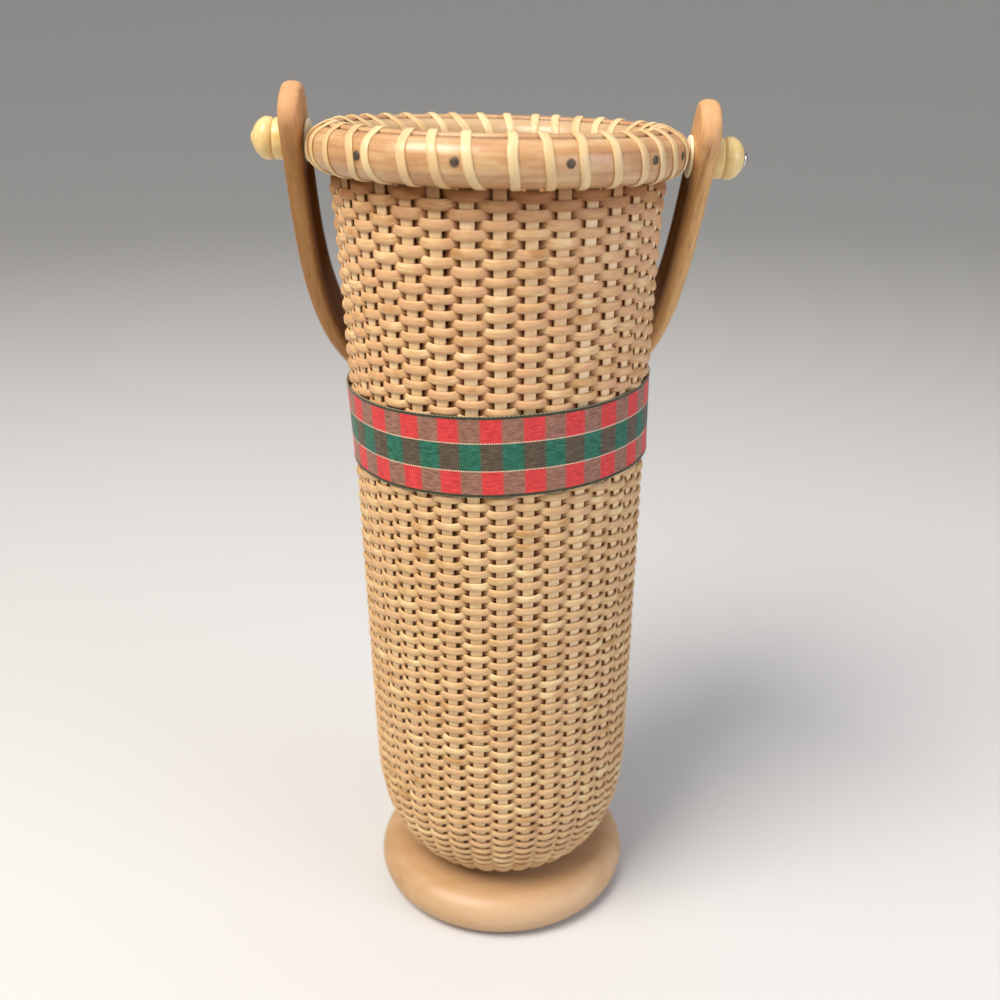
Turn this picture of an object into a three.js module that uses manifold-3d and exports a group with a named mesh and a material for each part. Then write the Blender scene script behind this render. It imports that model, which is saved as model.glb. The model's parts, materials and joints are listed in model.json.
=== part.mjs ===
// A tall cylindrical lightship basket on a turned wooden foot, with a swing handle.
// Millimetres, +Z up. The origin is the centre of the foot's flat underside, and the front is -Y.
// A bearing is an angle round the basket from the front, growing towards +X.

import * as THREE from 'three';
import { mergeVertices } from 'three/addons/utils/BufferGeometryUtils.js';
import Module from 'manifold-3d';

const wasm = await Module();
wasm.setup();

// Fits
const fitGap = 0.3;
const cutOverrun = 2;

// Foot: a turned disc with a full round edge
const footRadius = 45.6;
const footThickness = 15.2;

// Bottom plate: the grooved disc that the staves are let into, and its screw
const plateLip = 2.55;
const plateRim = 1.6;
const plateEdgeRound = 0.8;
const staveSeat = 5;
const screwShankRadius = 2;
const screwHeadRadius = 4;
const screwHeadHeight = 2.4;
const screwBite = 9;
const screwSlotWidth = 1;
const screwSlotDepth = 1.1;

// Woven wall: its outer face is a rounded bottom that turns into a slowly flaring cylinder
const wallBottomRadius = 26.1;
const wallTurnRadius = 45.45;
const wallTopRadius = 51;
const wallTurnRise = 40.35;
const wallTurnPower = 2.14;
const wallFlarePower = 6;
const wallFlareShare = 0.3;
const weaverThickness = 1.1;

// Staves: upright strips of cane, tapered towards the bottom
const staveCount = 35;
const staveThickness = 1;
const staveWidthShare = 0.46;
const firstStaveDegrees = 0.6;

// Rim: an outer and an inner hoop that clamp the staves in the middle of its width, lashed round
// with flat cane
const basketHeight = 271.5;
const rimWidth = 15.2;
const rimDepth = 14.4;
const rimSectionPower = 2.3;
const rimTiltDegrees = 1.23;
const lashingWidth = 2.8;
const lashingThickness = 0.7;
const lashingGap = 0.45;

// Tacks through the outer hoop, each given by the lashing gap that it is driven into
const tackGaps = [-5, -2, 1, 4, 6, 10, 13, 16, 19, 22];
const tackHeadRadius = 1.3;
const tackHeadHeight = 0.45;
const tackShankRadius = 0.55;
const tackShankLength = 4;

// Ribbon: a woven band with its ends lapped behind
const ribbonWidth = 25;
const ribbonThickness = 0.45;
const ribbonMiddleHeight = 182.3;
const ribbonTiltDegrees = 0.92;
const ribbonLap = 11;
const ribbonLapDegrees = 150;

// Pivots: a metal pin through the middle of the rim, a washer and a turned knob on each side
const pivotTiltDegrees = 2.74;
const pinRadius = 1.6;
const pinHeadRadius = 2.8;
const pinHeadHeight = 1.1;
const pinStop = 1.2;
const washerRadius = 6.2;
const washerThickness = 1;
const knobRadius = 6.5;
const knobCollarRadius = 6.2;
const knobNeckRadius = 5.8;
const knobLength = 8.4;
const knobCollarShare = 0.22;
const knobNeckShare = 0.3;
const knobWidestShare = 0.5;

// Handle: a flat strip bent to a squarish U, hanging down behind at rest
const handleWidth = 18.5;
const handleThickness = 6.2;
const handleDrop = 105.6;
const handlePower = 3.68;
const handleSectionPower = 3;
const handleTip = 20.5;
const handleRestDegrees = 33.5;

// How finely the round shapes are divided
const roundSteps = 48;
const smallSteps = 20;
const turnSteps = 5;
const flareSteps = 3;
const innerTurnSteps = 3;
const innerFlareSteps = 1;
const lashingSteps = 12;
const handleSteps = 24;
const sectionSteps = 8;

// Places that follow from the sizes
const staveStep = 2 * Math.PI / staveCount;
const staveHalfTurn = staveWidthShare * staveStep / 2;
const firstStave = THREE.MathUtils.degToRad(firstStaveDegrees);
const rimTilt = THREE.MathUtils.degToRad(rimTiltDegrees);
const pivotTilt = THREE.MathUtils.degToRad(pivotTiltDegrees);
const ribbonTilt = THREE.MathUtils.degToRad(ribbonTiltDegrees);
const wallThickness = 2 * weaverThickness + staveThickness + fitGap;
const plateUnder = footThickness + fitGap;
const wallUnder = plateUnder + plateLip;
const turnHeight = wallUnder + wallTurnRise;
const plateTop = wallUnder + wallThickness + plateRim;
const plateRadius = wallBottomRadius - fitGap;
const rimMiddle = basketHeight - rimDepth / 2;
const rimCentreRadius = wallTopRadius - weaverThickness - staveThickness / 2;
const rimOuterRadius = rimCentreRadius + rimWidth / 2;
const hoopInset = lashingThickness + lashingGap;
const rimDropAtEdge = rimOuterRadius * Math.tan(rimTilt);
const weaveTop = rimMiddle - rimDepth / 2 - fitGap - rimDropAtEdge;
const staveTop = rimMiddle + rimDepth / 2 - hoopInset - rimDropAtEdge;
const slotOuterRadius = wallTopRadius - weaverThickness + fitGap;
const slotInnerRadius = wallTopRadius - weaverThickness - staveThickness - fitGap;
const washerInner = rimOuterRadius + fitGap + washerRadius * Math.sin(pivotTilt);
const handleInner = washerInner + washerThickness + fitGap;
const handleHalfSpan = handleInner + handleThickness / 2;
const knobInner = handleInner + handleThickness + fitGap;
const knobEnd = knobInner + knobLength;

// Materials
const paint = (colour, roughness, metalness = 0) => new THREE.MeshStandardMaterial({
  color: colour, roughness, metalness,
});
const footWood = paint(0xe1aa7d, 0.5);
const plateWood = paint(0xb07a4c, 0.55);
const staveCane = paint(0xebcd96, 0.6);
const weaverCane = paint(0xd2a578, 0.65);
const hoopWood = paint(0xcda078, 0.5);
const lashingCane = paint(0xebc88c, 0.5);
const ribbonCloth = paint(0x8f4a42, 0.85);
const handleWood = paint(0xbe8755, 0.45);
const bone = paint(0xf0e1a0, 0.3);
const brass = paint(0xb99a5b, 0.35, 1);
const tackSteel = paint(0x5a5049, 0.5, 1);

// A closed geometry from points and triangles, turned right side out by the sign of its volume.
function closedSurface(points, triangles) {
  const corner = new THREE.Vector3();
  let volume = 0;
  for (const [a, b, c] of triangles) {
    volume += points[a].dot(corner.crossVectors(points[b], points[c]));
  }
  const index = triangles.flatMap(([a, b, c]) => (volume > 0 ? [a, b, c] : [a, c, b]));
  const geometry = new THREE.BufferGeometry().setFromPoints(points);
  geometry.setIndex(index);
  geometry.computeVertexNormals();
  return geometry;
}

// Skins a row of like rings. A row that doesn't close on itself gets a flat cap at each end.
function loft(rings, rowCloses = false) {
  const around = rings[0].length;
  const triangles = [];
  const spans = rowCloses ? rings.length : rings.length - 1;
  for (let i = 0; i < spans; i += 1) {
    const here = i * around;
    const next = ((i + 1) % rings.length) * around;
    for (let j = 0; j < around; j += 1) {
      const k = (j + 1) % around;
      triangles.push([here + j, here + k, next + k], [here + j, next + k, next + j]);
    }
  }
  if (!rowCloses) {
    const last = (rings.length - 1) * around;
    for (let j = 1; j < around - 1; j += 1) {
      triangles.push([0, j + 1, j], [last, last + j, last + j + 1]);
    }
  }
  return closedSurface(rings.flat(), triangles);
}

// Turns a profile of [radius, height] points round the Z axis.
function turned(profile, steps) {
  const outline = profile.map(([radius, height]) => new THREE.Vector2(radius, height));
  return new THREE.LatheGeometry(outline, steps).rotateX(Math.PI / 2);
}

// A point at a bearing, a radius and a height.
function atBearing(bearing, radius, height) {
  return new THREE.Vector3(radius * Math.sin(bearing), -radius * Math.cos(bearing), height);
}

// A power of a sine or cosine that keeps its sign, for rounded-square curves.
function signedPower(value, power) {
  return Math.sign(value) * Math.abs(value) ** (2 / power);
}

function toManifold(geometry) {
  const bare = geometry.clone();
  bare.deleteAttribute('normal');
  bare.deleteAttribute('uv');
  const merged = mergeVertices(bare);
  const vertProperties = new Float32Array(merged.attributes.position.array);
  const triVerts = new Uint32Array(merged.index.array);
  const mesh = new wasm.Mesh({ numProp: 3, vertProperties, triVerts });
  mesh.merge();
  return new wasm.Manifold(mesh);
}

// Takes the cutters out of a body. All of them are in the body's own frame.
function cut(geometry, cutters) {
  let solid = toManifold(geometry);
  for (const cutter of cutters) {
    solid = solid.subtract(toManifold(cutter));
  }
  const mesh = solid.getMesh();
  const result = new THREE.BufferGeometry();
  result.setAttribute('position', new THREE.BufferAttribute(new Float32Array(mesh.vertProperties), 3));
  result.setIndex(new THREE.BufferAttribute(new Uint32Array(mesh.triVerts), 1));
  result.computeVertexNormals();
  return result;
}

const basket = new THREE.Group();
const rim = new THREE.Group();
rim.position.z = rimMiddle;
rim.rotation.y = rimTilt;
const swing = new THREE.Group();
swing.position.z = rimMiddle;
swing.rotation.y = pivotTilt;
const band = new THREE.Group();
band.position.z = ribbonMiddleHeight;
band.rotation.y = -ribbonTilt;
basket.add(rim, swing, band);
basket.updateMatrixWorld(true);

function addPiece(group, name, geometry, material) {
  const piece = new THREE.Mesh(geometry, material);
  piece.name = name;
  group.add(piece);
  return piece;
}

// The wall's outer face as [radius, height], with its outward direction, for a share of the way
// round the bottom turn (0 to 1) and then up the flare (1 to 2).
function wallFace(share) {
  const place = (at) => {
    if (at <= 1) {
      const angle = at * Math.PI / 2;
      const out = signedPower(Math.sin(angle), wallTurnPower);
      const down = signedPower(Math.cos(angle), wallTurnPower);
      return [wallBottomRadius + (wallTurnRadius - wallBottomRadius) * out, turnHeight - wallTurnRise * down];
    }
    const up = at - 1;
    const flare = (1 - wallFlareShare) * up + wallFlareShare * up ** wallFlarePower;
    return [
      wallTurnRadius + (wallTopRadius - wallTurnRadius) * flare,
      turnHeight + (weaveTop - turnHeight) * up,
    ];
  };
  const nudge = 1e-4;
  const [radius, height] = place(share);
  const [r0, z0] = place(Math.max(share - nudge, 0));
  const [r1, z1] = place(Math.min(share + nudge, 2));
  const length = Math.hypot(r1 - r0, z1 - z0);
  return { radius, height, outR: (z1 - z0) / length, outZ: -(r1 - r0) / length };
}

// The same place, sunk straight into the wall by a depth.
function underWallFace(share, depth) {
  const face = wallFace(share);
  return [face.radius - depth * face.outR, face.height - depth * face.outZ];
}

function evenShares(from, to, steps) {
  return Array.from({ length: steps + 1 }, (_, i) => from + (to - from) * i / steps);
}

// Foot: the round edge is a half circle as high as the disc is thick.
function makeFoot() {
  const edge = footThickness / 2;
  const profile = [[0, 0]];
  for (const turn of evenShares(-Math.PI / 2, Math.PI / 2, sectionSteps)) {
    profile.push([footRadius - edge + edge * Math.cos(turn), edge + edge * Math.sin(turn)]);
  }
  const holeRadius = screwShankRadius + fitGap;
  const holeFloor = footThickness - screwBite - fitGap;
  profile.push([holeRadius, footThickness], [holeRadius, holeFloor], [0, holeFloor]);
  addPiece(basket, 'foot', turned(profile, roundSteps), footWood);
}

// Bottom plate: its edge groove takes the stave ends, and its middle is countersunk for the screw.
function makeBottomPlate() {
  const grooveUnder = wallUnder + weaverThickness - fitGap;
  const grooveOver = wallUnder + weaverThickness + staveThickness + fitGap;
  const grooveFloor = plateRadius - staveSeat - fitGap;
  const holeRadius = screwShankRadius + fitGap;
  const sinkRadius = screwHeadRadius + fitGap;
  const sinkFloor = plateTop - screwHeadHeight - fitGap;
  const profile = [
    [holeRadius, plateUnder],
    [plateRadius - plateEdgeRound, plateUnder],
    [plateRadius, plateUnder + plateEdgeRound],
    [plateRadius, grooveUnder],
    [grooveFloor, grooveUnder],
    [grooveFloor, grooveOver],
    [plateRadius, grooveOver],
    [plateRadius, plateTop - plateEdgeRound],
    [plateRadius - plateEdgeRound, plateTop],
    [sinkRadius, plateTop],
    [sinkRadius, sinkFloor],
    [holeRadius, sinkFloor],
    [holeRadius, plateUnder],
  ];
  addPiece(basket, 'bottom_plate', turned(profile, roundSteps), plateWood);
}

function makeBottomScrew() {
  const headUnder = plateTop - screwHeadHeight;
  const profile = [
    [0, footThickness - screwBite],
    [screwShankRadius, footThickness - screwBite + screwShankRadius],
    [screwShankRadius, headUnder],
    [screwHeadRadius, headUnder],
    [screwHeadRadius, plateTop],
    [0, plateTop],
  ];
  const slotLength = 2 * (screwHeadRadius + cutOverrun);
  const slotHeight = screwSlotDepth + cutOverrun;
  const slot = new THREE.BoxGeometry(slotLength, screwSlotWidth, slotHeight);
  slot.translate(0, 0, plateTop - screwSlotDepth + slotHeight / 2);
  addPiece(basket, 'bottom_screw', cut(turned(profile, smallSteps), [slot]), brass);
}

// Woven wall: one closed shell. Its outer face has a groove for each stave to lie in.
function makeWovenWall() {
  const grooveDepth = weaverThickness + staveThickness + fitGap;
  const ring = (share, depthAtStave, depthBetween) => {
    const points = [];
    for (let k = 0; k < staveCount; k += 1) {
      const bearing = firstStave + k * staveStep;
      const [radius] = underWallFace(share, weaverThickness);
      const half = staveHalfTurn + fitGap / radius;
      const corners = [
        [-half, depthBetween],
        [-half, depthAtStave],
        [half, depthAtStave],
        [half, depthBetween],
      ];
      for (const [turn, depth] of corners) {
        points.push(atBearing(bearing + turn, ...underWallFace(share, depth)));
      }
    }
    return points;
  };
  const outerShares = [...evenShares(0, 1, turnSteps), ...evenShares(1, 2, flareSteps).slice(1)];
  const innerShares = [...evenShares(2, 1, innerFlareSteps), ...evenShares(1, 0, innerTurnSteps).slice(1)];
  const nearInner = wallThickness - fitGap / 2;
  const rings = [
    ...outerShares.map((share) => ring(share, grooveDepth, 0)),
    ...innerShares.map((share) => ring(share, nearInner, wallThickness)),
  ];
  addPiece(basket, 'woven_wall', loft(rings, true), weaverCane);
}

// Staves: each comes out of the plate's groove, round the bottom turn and up between the hoops.
function makeStaves() {
  const outer = weaverThickness;
  const inner = weaverThickness + staveThickness;
  const stations = [];
  const seat = plateRadius - staveSeat;
  stations.push([[seat, wallUnder + outer], [seat, wallUnder + inner]]);
  for (const share of [...evenShares(0, 1, turnSteps), ...evenShares(1, 2, flareSteps).slice(1)]) {
    stations.push([underWallFace(share, outer), underWallFace(share, inner)]);
  }
  const [topOuter, topInner] = stations[stations.length - 1];
  stations.push([[topOuter[0], staveTop], [topInner[0], staveTop]]);
  const digits = String(staveCount).length;
  const cutters = pinHoles(new THREE.Matrix4());
  for (let k = 0; k < staveCount; k += 1) {
    const bearing = firstStave + k * staveStep;
    const rings = stations.map(([[outR, outZ], [inR, inZ]]) => [
      atBearing(bearing - staveHalfTurn, outR, outZ),
      atBearing(bearing + staveHalfTurn, outR, outZ),
      atBearing(bearing + staveHalfTurn, inR, inZ),
      atBearing(bearing - staveHalfTurn, inR, inZ),
    ]);
    const name = `stave_${String(k + 1).padStart(digits, '0')}`;
    addPiece(basket, name, cut(loft(rings), cutters), staveCane);
  }
}

// The rim's section about the middle of the two hoops, as [radius, height], for an angle round it.
// Inset 0 is the outer face of the lashing.
function rimSection(turn, inset) {
  return [
    rimCentreRadius + (rimWidth / 2 - inset) * signedPower(Math.cos(turn), rimSectionPower),
    (rimDepth / 2 - inset) * signedPower(Math.sin(turn), rimSectionPower),
  ];
}

// The angle at which the rim's section, at the hoops' faces, crosses a radius. It undoes the power
// of the cosine in rimSection.
function sectionTurnAt(radius) {
  const reach = (radius - rimCentreRadius) / (rimWidth / 2 - hoopInset);
  return Math.acos(Math.sign(reach) * Math.abs(reach) ** (rimSectionPower / 2));
}

// Clearance holes for the two pivot pins, in a frame given by its matrix.
function pinHoles(frame) {
  const toFrame = new THREE.Matrix4().copy(frame).invert().multiply(swing.matrixWorld);
  const holeRadius = pinRadius + fitGap;
  const from = slotInnerRadius - rimHoopDepth() + pinStop;
  const length = knobEnd - from;
  return [1, -1].map((side) => {
    const drill = new THREE.CylinderGeometry(holeRadius, holeRadius, length, smallSteps);
    drill.rotateZ(Math.PI / 2);
    drill.translate(side * (from + length / 2), 0, 0);
    return drill.applyMatrix4(toFrame);
  });
}

// How deep the inner hoop is from its flat face to its round one.
function rimHoopDepth() {
  return slotInnerRadius - (rimOuterRadius - rimWidth + hoopInset);
}

// A hoop: the part of the rim's section on one side of the staves, carried round the basket.
function makeHoop(name, fromTurn, toTurn, extraCutters) {
  const section = evenShares(fromTurn, toTurn, sectionSteps).map((turn) => rimSection(turn, hoopInset));
  const rings = evenShares(0, 2 * Math.PI, roundSteps).slice(1).map((bearing) => (
    section.map(([radius, height]) => atBearing(bearing, radius, height))
  ));
  const cutters = [...pinHoles(rim.matrixWorld), ...extraCutters];
  addPiece(rim, name, cut(loft(rings, true), cutters), hoopWood);
}

// Where the lashing runs under the rim: halfway between two staves.
const lashingStart = firstStave + staveStep / 2;

// The bearing of a lashing gap's middle at the outer hoop's widest line. A turn of the lashing
// comes there a quarter step before its start under the rim, and the gap's middle is half a step on.
function lashingGapBearing(gap) {
  return lashingStart + (gap + 1 / 4) * staveStep;
}

// Lashing: one unbroken strip, wound round both hoops once for each gap between the staves. It
// starts and ends under the rim, on the two sides of the left pin, where it leaves out one turn.
function makeLashing() {
  const firstGap = Math.ceil((-Math.PI / 2 - lashingStart) / staveStep);
  const turns = staveCount - 1;
  const steps = turns * lashingSteps;
  const middle = lashingThickness / 2;
  const at = (turn) => {
    const bearing = lashingStart + (firstGap + turn) * staveStep;
    return atBearing(bearing, ...rimSection(-Math.PI / 2 - 2 * Math.PI * turn, middle));
  };
  const nudge = 1e-3;
  const centres = [];
  const rings = [];
  for (const turn of evenShares(0, turns, steps)) {
    const centre = at(turn);
    const along = at(turn + nudge).sub(at(turn - nudge)).normalize();
    const bearing = lashingStart + (firstGap + turn) * staveStep;
    const around = atBearing(bearing + Math.PI / 2, 1, 0);
    const out = new THREE.Vector3().crossVectors(along, around).normalize();
    const across = new THREE.Vector3().crossVectors(out, along);
    out.multiplyScalar(middle);
    across.multiplyScalar(lashingWidth / 2);
    centres.push(centre);
    rings.push([[1, 1], [1, -1], [-1, -1], [-1, 1]].map(([u, v]) => (
      centre.clone().addScaledVector(out, u).addScaledVector(across, v)
    )));
  }
  let least = Infinity;
  for (let i = 0; i < centres.length; i += 1) {
    for (let j = i + lashingSteps / 2; j < Math.min(i + 2 * lashingSteps, centres.length); j += 1) {
      least = Math.min(least, centres[i].distanceTo(centres[j]) - lashingWidth);
    }
  }
  console.log(`The lashing's least gap to itself is ${least.toFixed(2)} mm.`);
  addPiece(rim, 'rim_lashing', loft(rings), lashingCane);
}

// Tacks: a domed head on a shank, driven in from outside at the hoop's widest line.
function tackPlaces() {
  const headUnder = rimOuterRadius - hoopInset + fitGap;
  return tackGaps.map((gap) => {
    const bearing = lashingGapBearing(gap);
    return new THREE.Matrix4()
      .makeRotationZ(bearing - Math.PI / 2)
      .multiply(new THREE.Matrix4().makeTranslation(headUnder, 0, 0))
      .multiply(new THREE.Matrix4().makeRotationY(Math.PI / 2));
  });
}

function tackHoles() {
  const holeRadius = tackShankRadius + fitGap;
  const length = tackShankLength + fitGap + cutOverrun;
  return tackPlaces().map((place) => {
    const drill = new THREE.CylinderGeometry(holeRadius, holeRadius, length, sectionSteps);
    drill.rotateX(Math.PI / 2);
    drill.translate(0, 0, cutOverrun - length / 2);
    return drill.applyMatrix4(place);
  });
}

function makeTacks() {
  const profile = [
    [0, -tackShankLength],
    [tackShankRadius, tackShankRadius - tackShankLength],
    [tackShankRadius, 0],
    [tackHeadRadius, 0],
    [tackHeadRadius / 2, tackHeadHeight],
    [0, tackHeadHeight],
  ];
  tackPlaces().forEach((place, i) => {
    const name = `rim_tack_${String(i + 1).padStart(2, '0')}`;
    const tack = addPiece(rim, name, turned(profile, sectionSteps), tackSteel);
    tack.applyMatrix4(place);
  });
}

// Ribbon: a strip once round the wall, with its end lapped over its start.
function makeRibbon() {
  const share = 1 + (ribbonMiddleHeight - turnHeight) / (weaveTop - turnHeight);
  const reach = ribbonWidth / 2 / (weaveTop - turnHeight);
  const slack = ribbonWidth / 2 * Math.sin(ribbonTilt) + fitGap;
  const lapTurn = ribbonLap / wallFace(share).radius;
  const rise = ribbonThickness + fitGap;
  const start = THREE.MathUtils.degToRad(ribbonLapDegrees);
  const turns = [...evenShares(0, 2 * Math.PI, roundSteps), 2 * Math.PI + lapTurn];
  const lapped = (turn) => THREE.MathUtils.smoothstep(turn, 2 * Math.PI - lapTurn, 2 * Math.PI);
  const rings = turns.map((turn) => {
    const lift = slack + rise * lapped(turn);
    const lowRadius = wallFace(share - reach).radius + lift;
    const highRadius = wallFace(share + reach).radius + lift;
    const bearing = start + turn;
    return [
      atBearing(bearing, lowRadius, -ribbonWidth / 2),
      atBearing(bearing, highRadius, ribbonWidth / 2),
      atBearing(bearing, highRadius + ribbonThickness, ribbonWidth / 2),
      atBearing(bearing, lowRadius + ribbonThickness, -ribbonWidth / 2),
    ];
  });
  addPiece(band, 'ribbon', loft(rings), ribbonCloth);
}

// Turns a profile of [radius, distance out] points round the pivot axis, on one side.
function turnedOnPivot(profile, side) {
  return turned(profile, smallSteps).rotateY(side * Math.PI / 2);
}

function makePivot(side, word) {
  const pinInner = slotInnerRadius - rimHoopDepth() + pinStop + fitGap;
  const pin = [
    [0, pinInner],
    [pinRadius, pinInner],
    [pinRadius, knobEnd + fitGap],
    [pinHeadRadius, knobEnd + fitGap],
    [pinHeadRadius / 2, knobEnd + fitGap + pinHeadHeight],
    [0, knobEnd + fitGap + pinHeadHeight],
  ];
  const boreRadius = pinRadius + fitGap;
  const washer = [
    [boreRadius, washerInner],
    [washerRadius, washerInner],
    [washerRadius, washerInner + washerThickness],
    [boreRadius, washerInner + washerThickness],
    [boreRadius, washerInner],
  ];
  const domeStart = knobInner + knobWidestShare * knobLength;
  const dome = evenShares(0, Math.PI / 2, sectionSteps / 2).map((turn) => [
    pinHeadRadius + (knobRadius - pinHeadRadius) * Math.cos(turn),
    domeStart + (knobEnd - domeStart) * Math.sin(turn),
  ]);
  const knob = [
    [boreRadius, knobInner],
    [knobCollarRadius, knobInner],
    [knobCollarRadius, knobInner + knobCollarShare * knobLength],
    [knobNeckRadius, knobInner + knobNeckShare * knobLength],
    ...dome,
    [boreRadius, knobEnd],
    [boreRadius, knobInner],
  ];
  addPiece(swing, `pivot_pin_${word}`, turnedOnPivot(pin, side), brass);
  addPiece(swing, `washer_${word}`, turnedOnPivot(washer, side), bone);
  addPiece(swing, `knob_${word}`, turnedOnPivot(knob, side), bone);
}

// Handle: the strip's middle line is a squarish U below the pivots and runs straight above them.
function makeHandle() {
  const roundTip = handleWidth / 2;
  const tipShares = [0.97, 0.85, 0.6, 0];
  const tip = (side) => tipShares.map((share) => ({
    x: side * handleHalfSpan,
    z: handleTip - roundTip * (1 - share),
    narrow: Math.sqrt(1 - share ** 2),
  }));
  const bend = evenShares(0, Math.PI, handleSteps).map((turn) => ({
    x: handleHalfSpan * signedPower(Math.cos(turn), handlePower),
    z: -handleDrop * signedPower(Math.sin(turn), handlePower),
    narrow: 1,
  }));
  const stations = [...tip(1), ...bend, ...tip(-1).reverse()];
  const rings = stations.map((station, i) => {
    const before = stations[Math.max(i - 1, 0)];
    const after = stations[Math.min(i + 1, stations.length - 1)];
    const length = Math.hypot(after.x - before.x, after.z - before.z);
    const outX = -(after.z - before.z) / length;
    const outZ = (after.x - before.x) / length;
    const ring = [];
    for (const turn of evenShares(0, 2 * Math.PI, 2 * sectionSteps).slice(1)) {
      const across = station.narrow * handleWidth / 2 * signedPower(Math.cos(turn), handleSectionPower);
      const depth = Math.sqrt(station.narrow) * handleThickness / 2;
      const thick = depth * signedPower(Math.sin(turn), handleSectionPower);
      ring.push(new THREE.Vector3(station.x + outX * thick, across, station.z + outZ * thick));
    }
    return ring;
  });
  const bail = new THREE.Group();
  bail.rotation.x = THREE.MathUtils.degToRad(handleRestDegrees);
  swing.add(bail);
  const holeRadius = pinRadius + fitGap;
  const length = 2 * (handleHalfSpan + handleThickness);
  const drill = new THREE.CylinderGeometry(holeRadius, holeRadius, length, smallSteps);
  drill.rotateZ(Math.PI / 2);
  addPiece(bail, 'handle', cut(loft(rings), [drill]), handleWood);
}

makeFoot();
makeBottomPlate();
makeBottomScrew();
makeWovenWall();
makeStaves();
const outerTurn = sectionTurnAt(slotOuterRadius);
const innerTurn = sectionTurnAt(slotInnerRadius);
makeHoop('outer_rim_hoop', outerTurn, -outerTurn, tackHoles());
makeHoop('inner_rim_hoop', innerTurn, 2 * Math.PI - innerTurn, []);
makeLashing();
makeTacks();
makeRibbon();
makePivot(1, 'right');
makePivot(-1, 'left');
makeHandle();

export default basket;
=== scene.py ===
# A tall lightship basket: cane woven over 35 staves, a lashed rim, a check ribbon, a turned foot and
# a swing handle. Points are worked out in millimetres, +Z up, the front is -Y, and skin() turns them
# to metres. A bearing is an angle round the basket from the front, growing towards +X.

import json

import bpy
import numpy as np
from mathutils import Matrix, Vector


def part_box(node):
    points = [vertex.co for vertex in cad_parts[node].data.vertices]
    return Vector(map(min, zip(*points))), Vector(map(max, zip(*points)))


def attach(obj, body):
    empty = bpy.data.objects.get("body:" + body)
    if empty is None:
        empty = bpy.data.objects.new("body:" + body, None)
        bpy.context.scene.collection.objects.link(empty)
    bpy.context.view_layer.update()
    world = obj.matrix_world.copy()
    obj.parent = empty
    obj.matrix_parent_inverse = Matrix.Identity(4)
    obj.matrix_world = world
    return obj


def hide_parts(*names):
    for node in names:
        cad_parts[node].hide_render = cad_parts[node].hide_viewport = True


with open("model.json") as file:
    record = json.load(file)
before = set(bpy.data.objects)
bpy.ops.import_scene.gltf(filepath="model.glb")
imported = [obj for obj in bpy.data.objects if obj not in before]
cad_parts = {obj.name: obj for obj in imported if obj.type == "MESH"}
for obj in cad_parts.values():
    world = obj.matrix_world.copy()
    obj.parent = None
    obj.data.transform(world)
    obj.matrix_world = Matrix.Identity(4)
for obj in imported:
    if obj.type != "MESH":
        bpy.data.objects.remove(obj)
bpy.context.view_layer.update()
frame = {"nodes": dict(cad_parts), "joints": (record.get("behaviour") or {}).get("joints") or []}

# The camera that took the photograph, an inch above the rim and tipped down at the basket. Its place,
# tilt and focal length are those that put the rim, the wall, the ribbon and the foot where the
# photograph has them. It is focused just below the ribbon, so the foot is a little soft.
MM = 0.001
FRAME_PIXELS = 1000
FOCAL_PIXELS = 1124
camera_place = np.array([0.11, -353.3, 294.8])
camera_pitch = np.radians(22.32)
camera_roll = np.radians(-0.34)
FOCUS_DISTANCE = 335
F_STOP = 10

lens = bpy.data.cameras.new("camera")
lens.lens = FOCAL_PIXELS / FRAME_PIXELS * lens.sensor_width
lens.clip_start = 0.01
lens.dof.use_dof = True
lens.dof.focus_distance = FOCUS_DISTANCE * MM
lens.dof.aperture_fstop = F_STOP
camera = bpy.data.objects.new("camera", lens)
bpy.context.scene.collection.objects.link(camera)
camera.matrix_world = (
    Matrix.Translation(camera_place * MM)
    @ Matrix.Rotation(np.pi / 2 - camera_pitch, 4, "X")
    @ Matrix.Rotation(camera_roll, 4, "Z")
)
bpy.context.scene.camera = camera

# A plain pale paper floor that sweeps up far behind, a big soft light high on the left in front, a
# weaker one from the right, a faint one overhead and a pale room all round. They aren't part of the
# object.
FLOOR_THICKNESS = 20
FLOOR_RADIUS = 1600
SWEEP_RADIUS = 2000
SWEEP_STEPS = 24
FLOOR_STEPS = 96
FLOOR_COLOUR = "#D2D2D2"
ROOM_COLOUR = "#E6E4E2"
ROOM_STRENGTH = 0.4
soft_lights = (
    # name, place in mm, size in mm, watts, colour
    ("window", (-540, -490, 1220), 700, 23.2, "#FFF8EF"),
    ("fill", (800, -500, 450), 600, 4.3, "#E6ECFF"),
    ("overhead", (100, 250, 1000), 800, 1.5, "#FFFFFF"),
)


def colour(code):
    """A linear colour, with alpha 1, of an sRGB hex code."""
    srgb = np.array([int(code[i:i + 2], 16) for i in (1, 3, 5)]) / 255
    linear = np.where(srgb <= 0.04045, srgb / 12.92, ((srgb + 0.055) / 1.055) ** 2.4)
    return (*linear, 1)


# The inputs of a Mix node that mixes colours: the share of the second one, the first and the second.
SHARE, FIRST, SECOND = 0, 6, 7
# The output that is used of a node, where it isn't its first.
USED_OUTPUTS = {"TexCoord": "Object", "Attribute": "Fac", "Mix": 2}
SHARP_ANGLE = np.radians(50)


def blank_finish(name):
    """A new material with an empty node tree."""
    material = bpy.data.materials.new(name)
    material.use_nodes = True
    material.node_tree.nodes.clear()
    return material, material.node_tree


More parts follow.
